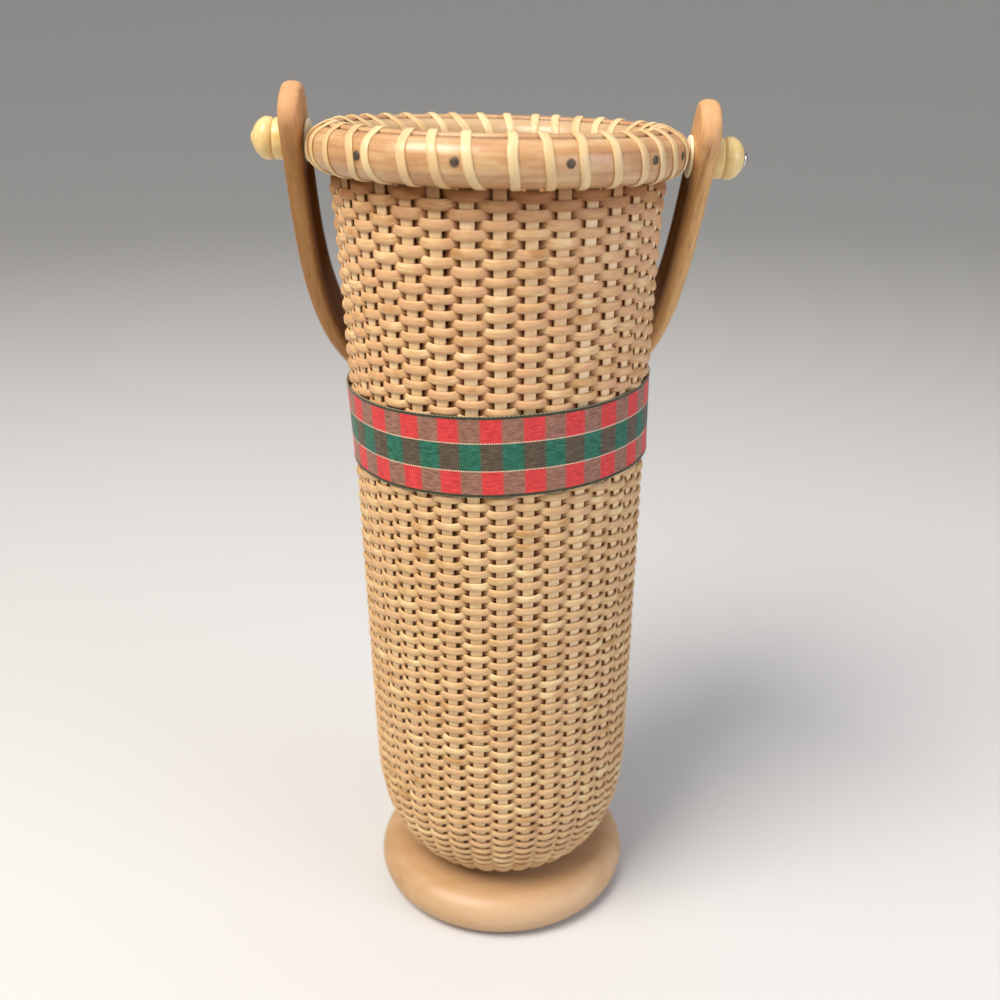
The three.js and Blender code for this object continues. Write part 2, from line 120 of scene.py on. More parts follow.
def add(tree, kind, inputs=None, stops=(), used=None, **settings):
    """Adds a shader node and returns its output that is used. The inputs are values, or such outputs
    of other nodes. Stops are a ramp's colours."""
    node = tree.nodes.new("ShaderNode" + kind)
    if kind == "Mix":
        node.data_type = "RGBA"
    for key, value in settings.items():
        setattr(node, key, value)
    for key, value in (inputs or {}).items():
        if isinstance(value, bpy.types.NodeSocket):
            tree.links.new(value, node.inputs[key])
        else:
            node.inputs[key].default_value = value
    for i, (at, code) in enumerate(stops):
        element = node.color_ramp.elements[i] if i < 2 else node.color_ramp.elements.new(at)
        element.position = at
        element.color = colour(code)
    if node.outputs:
        return node.outputs[USED_OUTPUTS.get(kind, 0) if used is None else used]


def surface(tree, inputs, height=None, strength=0, depth=0.1, invert=False):
    """Ends a finish: a principled shader with these inputs, on the material's output. A pattern that
    is given as its height makes bumps, up to so many millimetres deep."""
    if height is not None:
        bump = {"Height": height, "Strength": strength, "Distance": depth * MM}
        inputs = {**inputs, "Normal": add(tree, "Bump", bump, invert=invert)}
    add(tree, "OutputMaterial", {"Surface": add(tree, "BsdfPrincipled", inputs)})


def skin(name, rings, joined=False, tips=None, uv=None, **marks):
    """A closed mesh over rings[ring, point, xyz] in millimetres. Each point is joined to the next one
    of its ring and to the same point of the next ring. The last ring meets the first where joined is
    true, and otherwise each end closes on its tip, or on the middle of its ring. The faces point
    outwards, by the sign of the volume. uv[ring, point, 2] in millimetres has one point more round,
    and one ring more where the rings join. Marks are values for each point, as attributes."""
    count, around = rings.shape[:2]
    spans = count if joined else count - 1
    here = (np.arange(spans) % count * around)[:, None]
    onward = ((np.arange(spans) + 1) % count * around)[:, None]
    j = np.arange(around)[None, :]
    k = (j + 1) % around
    quads = np.stack([here + j, here + k, onward + k, onward + j], -1).reshape(-1, 4)
    points = rings.reshape(-1, 3)
    triangles = np.zeros((0, 3), int)
    if not joined:
        ends = [rings[0].mean(0), rings[-1].mean(0)] if tips is None else tips
        points = np.concatenate([points, np.array(ends, float)])
        first, last = count * around, (count - 1) * around
        j, k = j[0], k[0]
        start_fan = np.stack([np.full(around, first), k, j], -1)
        end_fan = np.stack([np.full(around, first + 1), last + j, last + k], -1)
        triangles = np.concatenate([start_fan, end_fan])
    a, b, c, d = (points[quads[:, i]] for i in range(4))
    volume = (a * (np.cross(b, c) + np.cross(c, d))).sum()
    a, b, c = (points[triangles[:, i]] for i in range(3))
    volume += (a * np.cross(b, c)).sum()
    turn = slice(None, None, 1 if volume > 0 else -1)
    corners = np.concatenate([quads[:, turn].ravel(), triangles[:, turn].ravel()])
    sizes = np.concatenate([np.full(len(quads), 4), np.full(len(triangles), 3)])
    mesh = bpy.data.meshes.new(name)
    mesh.vertices.add(len(points))
    mesh.vertices.foreach_set("co", (points * MM).ravel())
    mesh.loops.add(len(corners))
    mesh.loops.foreach_set("vertex_index", corners)
    mesh.polygons.add(len(sizes))
    mesh.polygons.foreach_set("loop_start", np.cumsum(sizes) - sizes)
    mesh.update(calc_edges=True)
    mesh.set_sharp_from_angle(angle=SHARP_ANGLE)
    if uv is not None:
        flat = [uv[:spans, :-1], uv[:spans, 1:], uv[1:spans + 1, 1:], uv[1:spans + 1, :-1]]
        flat = np.stack(flat, 2).reshape(-1, 4, 2)[:, turn].reshape(-1, 2)
        if not joined:
            start_fan = np.stack([uv[0, :-1], uv[0, 1:], uv[0, :-1]], 1)
            end_fan = np.stack([uv[-1, :-1], uv[-1, :-1], uv[-1, 1:]], 1)
            fans = np.concatenate([start_fan, end_fan])[:, turn].reshape(-1, 2)
            flat = np.concatenate([flat, fans])
        mesh.uv_layers.new(name="along").data.foreach_set("uv", (flat * MM).ravel())
    for mark, values in marks.items():
        values = values.ravel()
        if not joined:
            values = np.concatenate([values, values[[0, -1]]])
        mesh.attributes.new(mark, "FLOAT", "POINT").data.foreach_set("value", values.astype(np.float32))
    piece = bpy.data.objects.new(name, mesh)
    bpy.context.scene.collection.objects.link(piece)
    return piece


def turned(name, profile, steps, origin=(0, 0, 0), axis=(0, 0, 1), joined=False, tips=None):
    """A turned piece: the profile's [radius, distance along the axis] points are carried round the
    axis from the origin, and the rings close on the two tips, which are distances along the axis."""
    profile, origin, axis = np.array(profile, float), np.array(origin, float), np.array(axis, float)
    axis = axis / np.linalg.norm(axis)
    side = np.cross(axis, [0, 1, 0] if abs(axis[1]) < 0.9 else [1, 0, 0])
    side = side / np.linalg.norm(side)
    turn = np.linspace(0, 2 * np.pi, steps, endpoint=False)[None, :, None]
    spoke = np.cos(turn) * side + np.sin(turn) * np.cross(axis, side)
    rings = origin + profile[:, 0, None, None] * spoke + profile[:, 1, None, None] * axis
    if tips is not None:
        tips = [origin + tip * axis for tip in tips]
    return skin(name, rings, joined=joined, tips=tips)


turn = np.linspace(np.pi / 2, 0, SWEEP_STEPS)
sweep = np.stack([FLOOR_RADIUS + SWEEP_RADIUS * np.sin(turn), SWEEP_RADIUS * (1 - np.cos(turn))], -1)
floor_back = FLOOR_RADIUS + SWEEP_RADIUS + FLOOR_THICKNESS
floor_profile = [[floor_back, -FLOOR_THICKNESS], [floor_back, SWEEP_RADIUS], *sweep]
floor = turned("floor", floor_profile, FLOOR_STEPS, tips=(-FLOOR_THICKNESS, 0))
material, tree = blank_finish("matt paper floor")
surface(tree, {"Base Color": colour(FLOOR_COLOUR), "Roughness": 0.8})
floor.data.materials.append(material)

world = bpy.data.worlds.new("room")
world.use_nodes = True
world.node_tree.nodes.clear()
room = add(world.node_tree, "Background", {"Color": colour(ROOM_COLOUR), "Strength": ROOM_STRENGTH})
add(world.node_tree, "OutputWorld", {"Surface": room})
bpy.context.scene.world = world
bpy.context.scene.view_settings.view_transform = "Standard"

basket_middle = np.array([0, 0, 150])
for name, place, size, watts, code in soft_lights:
    lamp = bpy.data.lights.new(name, "AREA")
    lamp.size = size * MM
    lamp.energy = watts
    lamp.color = colour(code)[:3]
    light = bpy.data.objects.new(name, lamp)
    toward = Vector(basket_middle - place)
    light.rotation_euler = toward.to_track_quat("-Z", "Y").to_euler()
    light.location = np.array(place) * MM
    bpy.context.scene.collection.objects.link(light)

# Foot: a disc of pale birch, faceplate turned with a full round edge, sanded fine and varnished.
# The basket stands on it, and a screw from above holds it to the bottom plate.
FOOT_EDGE_STEPS = 28
FOOT_STEPS = 160
SCREW_HOLE_RADIUS = 2.3
SCREW_HOLE_DEPTH = 9.3
BIRCH_PALE, BIRCH_MID, BIRCH_WARM = "#C8A67F", "#C19B70", "#B68E63"


def box_mm(*nodes):
    """The lowest and the highest corner, in millimetres, of the space that some CAD nodes fill."""
    corners = np.array([[tuple(corner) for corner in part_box(node)] for node in nodes]) / MM
    return corners[:, 0].min(0), corners[:, 1].max(0)


def dress(piece, body, slot, material, *nodes):
    """Gives a finished piece its material and its body, and hides the CAD nodes that it stands for."""
    piece.data.materials.append(material)
    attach(piece, body)
    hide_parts(*nodes)


foot_low, foot_high = box_mm("foot")
edge = (foot_high[2] - foot_low[2]) / 2
turn = np.linspace(-np.pi / 2, np.pi / 2, FOOT_EDGE_STEPS)
foot_profile = np.concatenate([
    np.stack([foot_high[1] - edge + edge * np.cos(turn), edge + edge * np.sin(turn)], -1),
    [[SCREW_HOLE_RADIUS, foot_high[2]], [SCREW_HOLE_RADIUS, foot_high[2] - SCREW_HOLE_DEPTH]],
])
foot = turned("foot_turned", foot_profile, FOOT_STEPS, tips=(0, foot_high[2] - SCREW_HOLE_DEPTH))


def grain(tree, scale, detail, roughness=0.5, distortion=0):
    """A pattern with so many marks to a metre each way: along and round a strip, by its UV map, or in
    three directions through the piece."""
    flat = len(scale) == 2
    place = add(tree, "UVMap", uv_map="along") if flat else add(tree, "TexCoord")
    stretched = add(tree, "Mapping", {"Vector": place, "Scale": (*scale, 1)[:3]})
    return add(tree, "TexNoise", {
        "Vector": stretched, "Scale": 1, "Detail": detail, "Roughness": roughness,
        "Distortion": distortion}, noise_dimensions="2D" if flat else "3D")


def overlaid(tree, base, value, start, full, most, code):
    """A base colour with another one over it, none where a value is at its start and most at full."""
    share = add(tree, "MapRange", {"Value": value, "From Min": start, "From Max": full, "To Max": most})
    return add(tree, "Mix", {SHARE: share, FIRST: base, SECOND: colour(code)})


# Birch under satin varnish: long soft figure across the board that the disc was cut from, with short
# fine flecks. The figure is 120 mm long and 12 mm wide, the flecks 8 mm by 0.5 mm.
material, tree = blank_finish("turned birch, satin varnish")
figure = grain(tree, (8, 80, 80), 4, 0.55, distortion=0.6)
tone = add(tree, "ValToRGB", {"Fac": figure}, [(0.32, BIRCH_WARM), (0.68, BIRCH_PALE), (0.5, BIRCH_MID)])
flecks = grain(tree, (125, 2000, 2000), 2, 0.6)
flecked = overlaid(tree, tone, flecks, 0.52, 0.72, 0.35, BIRCH_WARM)
surface(tree, {
    "Base Color": flecked, "Roughness": 0.5, "IOR": 1.5, "Coat Weight": 0.12,
    "Coat Roughness": 0.35}, flecks, 0.12)
dress(foot, "basket", "foot_wood", material, "foot")

# Bottom plate and screw: a turned disc with a groove in its edge for the stave ends, screwed down on
# the foot. Both lie at the bottom of the basket and keep their own solids.
PLATE_DARK, PLATE_PALE = "#8E5B34", "#B98556"
BRASS = "#C7A15A"
BRASS_STAIN = "#8A6A35"

# Oiled hardwood: straight grain, 60 mm long and 3 mm wide, a little darker than the cane.
hardwood, tree = blank_finish("turned hardwood, oiled")
fibres = grain(tree, (16, 330, 330), 5, 0.65)
tone = add(tree, "ValToRGB", {"Fac": fibres}, [(0.3, PLATE_DARK), (0.7, PLATE_PALE)])
surface(tree, {"Base Color": tone, "Roughness": 0.55}, fibres, 0.2, depth=0.2)


def worn_metal(name, marks, worn, bright, dullest, glossiest):
    """A polished metal that has worn, or stained, in so many marks to a metre."""
    material, tree = blank_finish(name)
    place = add(tree, "TexCoord")
    wear = add(tree, "TexNoise", {"Vector": place, "Scale": marks, "Detail": 3, "Roughness": 0.6})
    tone = add(tree, "ValToRGB", {"Fac": wear}, [(0.35, worn), (0.6, bright)])
    gloss = add(tree, "MapRange", {
        "Value": wear, "From Min": 0.3, "From Max": 0.7, "To Min": dullest, "To Max": glossiest})
    surface(tree, {"Base Color": tone, "Metallic": 1, "Roughness": gloss})
    return material


# Polished brass gone a little dull: stains 3 mm across vary its colour and gloss.
brass = worn_metal("brass, polished and worn", 330, BRASS_STAIN, BRASS, 0.38, 0.2)

for node, material in (("bottom_plate", hardwood), ("bottom_screw", brass)):
    materials = frame["nodes"][node].data.materials
    materials.clear()
    materials.append(material)

# Staves: 35 strips of split cane, shaved to taper, with a slightly crowned face. Each is let into the
# plate's groove, bends round the bottom and stands up between the hoops of the rim.
STAVE_COUNT = 35
STAVE_THICKNESS = 1.0
STAVE_WIDTH_SHARE = 0.425
STAVE_AROUND = 12
STAVE_GIRTH = 10
STAVE_SECTION_POWER = 3.2
# How uneven the staves are: in their places, in radians, in their widths and in their tones.
STAVE_STRAY, STAVE_WIDTH_VARIES, STAVE_TONE_VARIES = 0.0025, 0.04, 0.12
# How far on each stave's grain begins, in millimetres, so that no two staves are alike.
STAVE_GRAIN_STEP = 300
WEAVER_THICKNESS = 1.1
WALL_BOTTOM_RADIUS = 26.1
WALL_TURN_RADIUS = 45.45
WALL_TOP_RADIUS = 51
WALL_TURN_RISE = 40.35
WALL_TURN_POWER = 2.14
WALL_FLARE_POWER = 6
WALL_FLARE_SHARE = 0.3
WALL_STEPS = 160
WALL_TO_RIM = 1.018
PLATE_SEAT_RADIUS = 21.2
CANE_PALE, CANE_CREAM, CANE_LINE = "#FADDB0", "#EFCA96", "#C2965F"
# Painted shade: what is left of a colour, from a lit face to the bottom of a crevice or shadow.
PAINTED_SHADE_STOPS = [(0, "#FFFFFF"), (1, "#5A3210"), (0.5, "#C0A68E")]
RIM_SHADE_REACH = 11
RIM_SHADE = 0.72
stave_step = 2 * np.pi / STAVE_COUNT
first_stave = np.radians(0.6)
wall_low, wall_high = box_mm("woven_wall")
stave_nodes = [f"stave_{k + 1:02d}" for k in range(STAVE_COUNT)]
stave_top = box_mm(*stave_nodes)[1][2]
rng = np.random.default_rng(7)


def signed_power(value, power):
    """A sine or cosine raised to 2 / power with its sign kept, for rounded-square curves."""
    return np.sign(value) * np.abs(value) ** (2 / power)


def oval(around, half_thick, half_wide, power):
    """A rounded-square section as [thick, wide] offsets, for angles evenly round it."""
    turn = (np.arange(around) + 0.5) * 2 * np.pi / around
    return half_thick * signed_power(np.cos(turn), power), half_wide * signed_power(np.sin(turn), power)


# The wall's outer face: a quarter of a rounded square round the bottom, then a slow flare that goes on
# past the solid wall's top to the lower edge of the rim.
turn = np.linspace(0, np.pi / 2, WALL_STEPS)
rise = np.linspace(0, WALL_TO_RIM, WALL_STEPS)[1:]
turn_height = wall_low[2] + WALL_TURN_RISE
flare = (1 - WALL_FLARE_SHARE) * rise + WALL_FLARE_SHARE * rise ** WALL_FLARE_POWER
turn_reach = WALL_TURN_RADIUS - WALL_BOTTOM_RADIUS
wall_radius = np.concatenate([
    WALL_BOTTOM_RADIUS + turn_reach * signed_power(np.sin(turn), WALL_TURN_POWER),
    WALL_TURN_RADIUS + (WALL_TOP_RADIUS - WALL_TURN_RADIUS) * flare,
])
wall_height = np.concatenate([
    turn_height - WALL_TURN_RISE * signed_power(np.cos(turn), WALL_TURN_POWER),
    turn_height + (wall_high[2] - turn_height) * rise,
])
wall_length = np.concatenate([[0], np.cumsum(np.hypot(np.diff(wall_radius), np.diff(wall_height)))])
wall_out_radius = np.gradient(wall_height, wall_length)
wall_out_height = -np.gradient(wall_radius, wall_length)


def wall_at(length, depth):
    """The radius and height of points in the wall, at a length up its outer face from the bottom and
    a depth straight in from it."""
    radius = np.interp(length, wall_length, wall_radius)
    height = np.interp(length, wall_length, wall_height)
    out_radius = np.interp(length, wall_length, wall_out_radius)
    out_height = np.interp(length, wall_length, wall_out_height)
    return radius - depth * out_radius, height - depth * out_height


def at_bearing(bearing, radius, height):
    """Points at bearings, radii and heights."""
    return np.stack([radius * np.sin(bearing), -radius * np.cos(bearing), height + 0 * bearing], -1)


def swept(path, out, around, half_thick, half_wide, power):
    """Rings of an oval section along a path. The section's thick side faces out, squared up to the
    path, and its sizes and power may change along it."""
    along = np.gradient(path, axis=0)
    along /= np.linalg.norm(along, axis=1, keepdims=True)
    side = np.cross(along, out)
    side /= np.linalg.norm(side, axis=1, keepdims=True)
    out = np.cross(side, along)
    column = np.ones((len(path), 1))
    thick, wide = oval(around, half_thick * column, half_wide * column, power * column)
    return path[:, None] + thick[..., None] * out[:, None] + wide[..., None] * side[:, None]


def length_along(path):
    """The length run at each point of a path."""
    return np.concatenate([[0], np.cumsum(np.linalg.norm(np.diff(path, axis=0), axis=1))])


def strip_uv(run, around, girth, joined=False):
    """UV in millimetres for a swept strip: u is the length run, v the way round the section."""
    if joined:
        run = np.append(run, 2 * run[-1] - run[-2])
    girths = np.linspace(0, girth, around + 1)
    return np.stack(np.broadcast_arrays(run[:, None], girths[None, :]), -1)


def with_painted_shade(tree, base, depth):
    """A base colour with painted shade over it, by how deep it lies in a crevice or shadow, from 0 to 1.
    """
    tint = add(tree, "ValToRGB", {"Fac": depth}, PAINTED_SHADE_STOPS)
    return add(tree, "Mix", {SHARE: 1, FIRST: base, SECOND: tint}, blend_type="MULTIPLY")


# Split cane, varnished: cream with long hair-thin lines, about 0.25 mm apart, and a tone that drifts
# over 40 mm. Each stave has its own tone. A painted shadow of the rim darkens it close under the rim.
stave_cane, tree = blank_finish("split cane stave, clear varnish")
lines = grain(tree, (30, 4200), 2, 0.6)
drift = grain(tree, (25, 60), 2)
own = add(tree, "Attribute", attribute_name="tone")
drift_own = add(tree, "Math", {0: drift, 1: own}, operation="ADD")
tone = add(tree, "ValToRGB", {"Fac": drift_own}, [(0.3, CANE_CREAM), (0.75, CANE_PALE)])
lined = overlaid(tree, tone, lines, 0.5, 0.75, 0.4, CANE_LINE)
shaded = with_painted_shade(tree, lined, add(tree, "Attribute", attribute_name="rim_shade"))
surface(tree, {
    "Base Color": shaded, "Roughness": 0.5, "IOR": 1.5, "Specular IOR Level": 0.35}, lines, 0.35)

stave_length = np.linspace(0, wall_length[-1], WALL_STEPS // 2)
stave_depth = WEAVER_THICKNESS + STAVE_THICKNESS / 2
radius, height = wall_at(stave_length, stave_depth)
radius = np.concatenate([[PLATE_SEAT_RADIUS], radius, [radius[-1]]])
height = np.concatenate([[height[0]], height, [stave_top]])
out_radius = np.gradient(height)
out_height = -np.gradient(radius)
# Painted shadow of the overhanging rim on the tops of the staves.
rim_shade = RIM_SHADE * np.clip(1 - (wall_height[-1] - height) / RIM_SHADE_REACH, 0, 1)[:, None]
for k, node in enumerate(stave_nodes):
    bearing = first_stave + k * stave_step + rng.normal(0, STAVE_STRAY) + 0 * radius
    path = at_bearing(bearing, radius, height)
    out = at_bearing(bearing, out_radius, out_height)
    half_wide = radius * stave_step * STAVE_WIDTH_SHARE * rng.normal(1, STAVE_WIDTH_VARIES) / 2
    rings = swept(path, out, STAVE_AROUND, STAVE_THICKNESS / 2, half_wide[:, None], STAVE_SECTION_POWER)
    uv = strip_uv(length_along(path) + STAVE_GRAIN_STEP * k, STAVE_AROUND, STAVE_GIRTH)
    own_tone = np.full(rings.shape[:2], rng.normal(0, STAVE_TONE_VARIES))
    stave = skin(f"{node}_cane", rings, uv=uv, tone=own_tone, rim_shade=rim_shade + 0 * own_tone)
    dress(stave, "basket", "stave_cane", stave_cane, node)

# Woven wall: one round-cored cane, soaked and woven in front of one stave and behind the next, up a
# single spiral of about 110 turns. With an odd number of staves each turn crosses over the one below.
WEAVER_STEPS = 8
WEAVER_AROUND = 10
WEAVER_GIRTH = 7
WEAVER_BANDS = 4
WEAVER_GRIP = 1.4
WEAVER_SAG = 0.3
WEAVER_SPREAD_INSIDE = 0.5
WEAVER_TOUCH = 1.2
# How uneven the weaver is: in its height on the wall and its depth, in mm, its width and its thickness.
ROW_VARIES, DEPTH_VARIES, TALL_VARIES, THICK_VARIES = 0.12, 0.04, 0.05, 0.04
CREVICE_START, CREVICE_REACH = 0.34, 0.35
PACKED_REACH = 36
PACKED_FADE = 0.5
FIRST_ROW_LENGTH = 1.3
LAST_ROW_LENGTH = 0.9
OVER_ROW_HEIGHT = 251.4
# By height: the way from one row in front of a stave to the next one, the weaver's own height, and
# the power of its section, where 2 is an oval and more is squarer.
pitch_heights = [18, 40, 60, 120, 165, 200, 228, 234, 262]
double_pitches = [3.3, 3.65, 4.2, 4.25, 4.5, 4.62, 4.68, 5.12, 5.12]
weaver_heights = [1.8, 1.95, 2.3, 2.4, 2.5, 2.55, 2.75, 3.0, 3.1]
weaver_powers = [2.6, 2.6, 2.6, 2.6, 2.5, 2.4, 2.3, 2.15, 2.15]
RIM_TILT = np.radians(1.5)
RIM_PITCH = np.radians(0.8)
RIM_LEVEL_REACH = 60
CORE_BROWN, CORE_TAN, CORE_CREAM, CORE_PINK = "#B78B57", "#D4B17F", "#E1C897", "#CEA57C"
HANK_CHANGE_HEIGHT, HANK_CHANGE_HALF = 182, 4
HANK_PINK = "#FFF7F6"

middle_pitch = np.interp((wall_height[1:] + wall_height[:-1]) / 2, pitch_heights, double_pitches) / 2
wall_rows = np.concatenate([[0], np.cumsum(np.diff(wall_length) / middle_pitch)])
# The rows are counted so that a whole odd number of them lies below the over row read off the photo.
over_row = np.interp(np.interp(OVER_ROW_HEIGHT, wall_height, wall_length), wall_length, wall_rows)
wall_rows += 2 * np.round((over_row - 1) / 2) + 1 - over_row
first_row = np.interp(FIRST_ROW_LENGTH, wall_length, wall_rows)
last_row = np.interp(wall_length[-1] - LAST_ROW_LENGTH, wall_length, wall_rows)
crossings = int((last_row - first_row) * STAVE_COUNT)
winding = first_row + np.arange(crossings * WEAVER_STEPS + 1) / (STAVE_COUNT * WEAVER_STEPS)
bearing = first_stave + 2 * np.pi * winding
swing = np.cos(np.pi * STAVE_COUNT * winding)
over = np.tanh(WEAVER_GRIP * swing) / np.tanh(WEAVER_GRIP)


def eased(share):
    """A share from 0 to 1 that starts and ends gently."""
    return share * share * (3 - 2 * share)


def hand(spread):
    """A small unevenness of hand work: a random value at each stave, eased from one to the next."""
    values = rng.normal(0, spread, crossings + 3)
    place = (winding - first_row) * STAVE_COUNT
    at = np.floor(place).astype(int)
    ease = eased(place - at)
    return values[at] * (1 - ease) + values[at + 1] * ease


# The weaver sags a little where it lies over a stave, under the rows beaten down above it.
row_length = np.interp(winding, wall_rows, wall_length) - WEAVER_SAG * over + hand(ROW_VARIES)
travel = (STAVE_THICKNESS + WEAVER_THICKNESS) / 2
depth = stave_depth - travel * over + hand(DEPTH_VARIES)
radius, height = wall_at(row_length, depth)
level = np.clip((height - (wall_high[2] - RIM_LEVEL_REACH)) / RIM_LEVEL_REACH, 0, 1)
path = at_bearing(bearing, radius, height)
path[:, 2] -= (path[:, 0] * np.tan(RIM_TILT) + (path[:, 1] + radius) * np.tan(RIM_PITCH)) * level ** 2
out = at_bearing(bearing, np.interp(row_length, wall_length, wall_out_radius),
                 np.interp(row_length, wall_length, wall_out_height))
# Between two staves the rows press on one another, so each is as tall there as a row has room. Inside
# the basket, where they are beaten down against the mould, they spread and leave less of a gap.
full = np.interp(height, pitch_heights, weaver_heights) / 2
pressed = np.interp(height, pitch_heights, double_pitches) / 4 * WEAVER_TOUCH
half_tall = (pressed + (full - pressed) * over ** 2) * (1 + hand(TALL_VARIES))
half_tall *= 1 + WEAVER_SPREAD_INSIDE * np.clip(-over, 0, 1)
section_power = np.interp(height, pitch_heights, weaver_powers)
half_thick = WEAVER_THICKNESS / 2 * (1 + hand(THICK_VARIES))
rings = swept(path, out, WEAVER_AROUND, half_thick[:, None], half_tall[:, None], section_power[:, None])
# Painted shade in the crevices, where the weaver dives: the side that turns to the stave, and the way
# down to it. The first rows are packed tight and their crevices are shallow, so their painted shade is
# weaker.
turn = (np.arange(WEAVER_AROUND) + 0.5) * 2 * np.pi / WEAVER_AROUND
facing = np.cos(turn)[None, :]
crevice = np.clip((-over[:, None] * facing - CREVICE_START) / CREVICE_REACH, 0, 1)
crevice *= 1 - PACKED_FADE * np.clip((PACKED_REACH - row_length) / PACKED_REACH, 0, 1)[:, None]
# A painted shadow of the overhanging rim on the top rows.
painted_rim_shadow = RIM_SHADE * np.clip(1 - (wall_length[-1] - row_length) / RIM_SHADE_REACH, 0, 1)
crevice = np.maximum(crevice, painted_rim_shadow[:, None])
uv = strip_uv(length_along(path), WEAVER_AROUND, WEAVER_GIRTH)

# Rattan core, varnished: tan, cream and pinkish lengths of 10 to 40 mm, with lengthwise fibres 0.2 mm
# apart, drawn 0.4 mm apart so that they show. Painted shade darkens it and takes its gloss where it
# dives between the staves, and a painted shadow of the rim darkens it right under the rim. A pinker
# hank begins under the ribbon.
weaver_cane, tree = blank_finish("rattan core weaver, clear varnish")
lengths = grain(tree, (55, 70), 3, 0.65)
tone = add(tree, "ValToRGB", {"Fac": lengths}, [
    (0.29, CORE_BROWN), (0.7, CORE_CREAM), (0.41, CORE_TAN), (0.5, CORE_PINK), (0.58, CORE_TAN)])
fibres = grain(tree, (170, 2500), 2, 0.6)
fibred = overlaid(tree, tone, fibres, 0.46, 0.68, 0.55, CORE_BROWN)
upward = add(tree, "SeparateXYZ", {0: add(tree, "TexCoord")}, used=2)
upper_share = add(tree, "MapRange", {
    "Value": upward, "From Min": (HANK_CHANGE_HEIGHT - HANK_CHANGE_HALF) * MM,
    "From Max": (HANK_CHANGE_HEIGHT + HANK_CHANGE_HALF) * MM})
hanked = add(tree, "Mix", {
    SHARE: upper_share, FIRST: fibred, SECOND: colour(HANK_PINK)}, blend_type="MULTIPLY")
# Painted shade and shadow, which also take the gloss away.
deep = add(tree, "Attribute", attribute_name="crevice")
gloss = add(tree, "MapRange", {"Value": deep, "To Min": 0.35, "To Max": 0})
surface(tree, {
    "Base Color": with_painted_shade(tree, hanked, deep), "Roughness": 0.5, "IOR": 1.5,
    "Specular IOR Level": gloss}, fibres, 0.3)

band_edges = np.linspace(0, crossings, WEAVER_BANDS + 1).astype(int) * WEAVER_STEPS
for band, (start, stop) in enumerate(zip(band_edges[:-1], band_edges[1:])):
    part = slice(start, stop + 1)
    weaver = skin(f"weaver_band_{band + 1}", rings[part], uv=uv[part], crevice=crevice[part])
    dress(weaver, "basket", "weaver_cane", weaver_cane, "woven_wall")

# Rim hoops: two half-round hoops of pale hardwood, steam bent and clamped on the stave tops from the
# outside and the inside. Their flat sides face the staves, and their round sides are varnished.
RIM_WIDTH = 15.2
RIM_DEPTH = 13.6
RIM_MIDDLE = 264.2
RIM_POWER = 2.3
HOOP_INSET = 0.45
HOOP_STEPS = 280
HOOP_AROUND = 40
HOOP_CORNER = 0.8
HOOP_ROUND_POWER, HOOP_FLAT_POWER, HOOP_TALL_POWER = 2, 3, 2.2
SLOT_HALF = 0.8
HOOP_JOINT_BEARING = np.radians(180.6)
HOOP_GIRTH = 34
SEAM_GIRTH, SEAM_HALF, SEAM_SOFT = 7.75, 0.4, 0.25
# The inner hoop's grain begins this far on, in millimetres, and this is how much of it is sapwood.
INNER_GRAIN_START = 400
INNER_SAPWOOD = 0.75
HOOP_TAN, HOOP_PINK, HOOP_PALE, HOOP_BROWN = "#C29566", "#B8875E", "#CFAC7D", "#936539"
HOOP_SPECK, SEAM_SHADE, HOOP_SAPWOOD = "#8A5C38", "#5E3418", "#BC9F76"
rim_centre = WALL_TOP_RADIUS - WEAVER_THICKNESS - STAVE_THICKNESS / 2
rim_turn = np.array(Matrix.Rotation(-RIM_PITCH, 3, "X") @ Matrix.Rotation(RIM_TILT, 3, "Y"))
hoop_steps = np.linspace(0, 2 * np.pi, HOOP_STEPS, endpoint=False) + HOOP_JOINT_BEARING


def on_rim(points):
    """Points of the rim, from its own level frame to their tilted place on the basket."""
    return points @ rim_turn.T + [0, 0, RIM_MIDDLE]


def rim_ring(name, across, up, girth, grain_start, **marks):
    """A closed ring round the rim, of a section given by its places across and up in the rim's frame.
    Its grain begins so far on, in millimetres."""
    rings = on_rim(at_bearing(hoop_steps[:, None], across[None, :], up[None, :]))
    uv = strip_uv(hoop_steps * rim_centre, len(across), girth, joined=True)
    uv[..., 0] += grain_start
    return skin(name, rings, joined=True, uv=uv, **marks)


def distance(tree, value, middle):
    """How far a value in metres lies from a middle in millimetres."""
    off = add(tree, "Math", {0: value, 1: middle * MM}, operation="SUBTRACT")
    return add(tree, "Math", {0: off}, operation="ABSOLUTE")


# Hardwood under gloss varnish: long streaks, 70 mm by 1 mm, over paler and pinker patches of 17 mm,
# with brown specks of 1.1 mm by 0.7 mm in places. Painted shade darkens the seam on top. The inner
# hoop is paler sapwood.
hoop_wood, tree = blank_finish("half-round hardwood hoop, gloss varnish")
patches = grain(tree, (60, 200), 3, 0.6)
tone = add(tree, "ValToRGB", {"Fac": patches}, [(0.3, HOOP_PINK), (0.7, HOOP_PALE), (0.5, HOOP_TAN)])
streaks = grain(tree, (14, 1000), 4, 0.65)
streaked = overlaid(tree, tone, streaks, 0.48, 0.72, 0.4, HOOP_BROWN)
specks = grain(tree, (900, 1500), 2, 0.6)
speck_share = add(tree, "MapRange", {"Value": specks, "From Min": 0.52, "From Max": 0.75, "To Max": 0.4})
dull_share = add(tree, "MapRange", {"Value": patches, "From Min": 0.52, "From Max": 0.34})
speck_share = add(tree, "Math", {0: speck_share, 1: dull_share}, operation="MULTIPLY")
specked = add(tree, "Mix", {SHARE: speck_share, FIRST: streaked, SECOND: colour(HOOP_SPECK)})
sapwood = add(tree, "Attribute", attribute_name="sapwood")
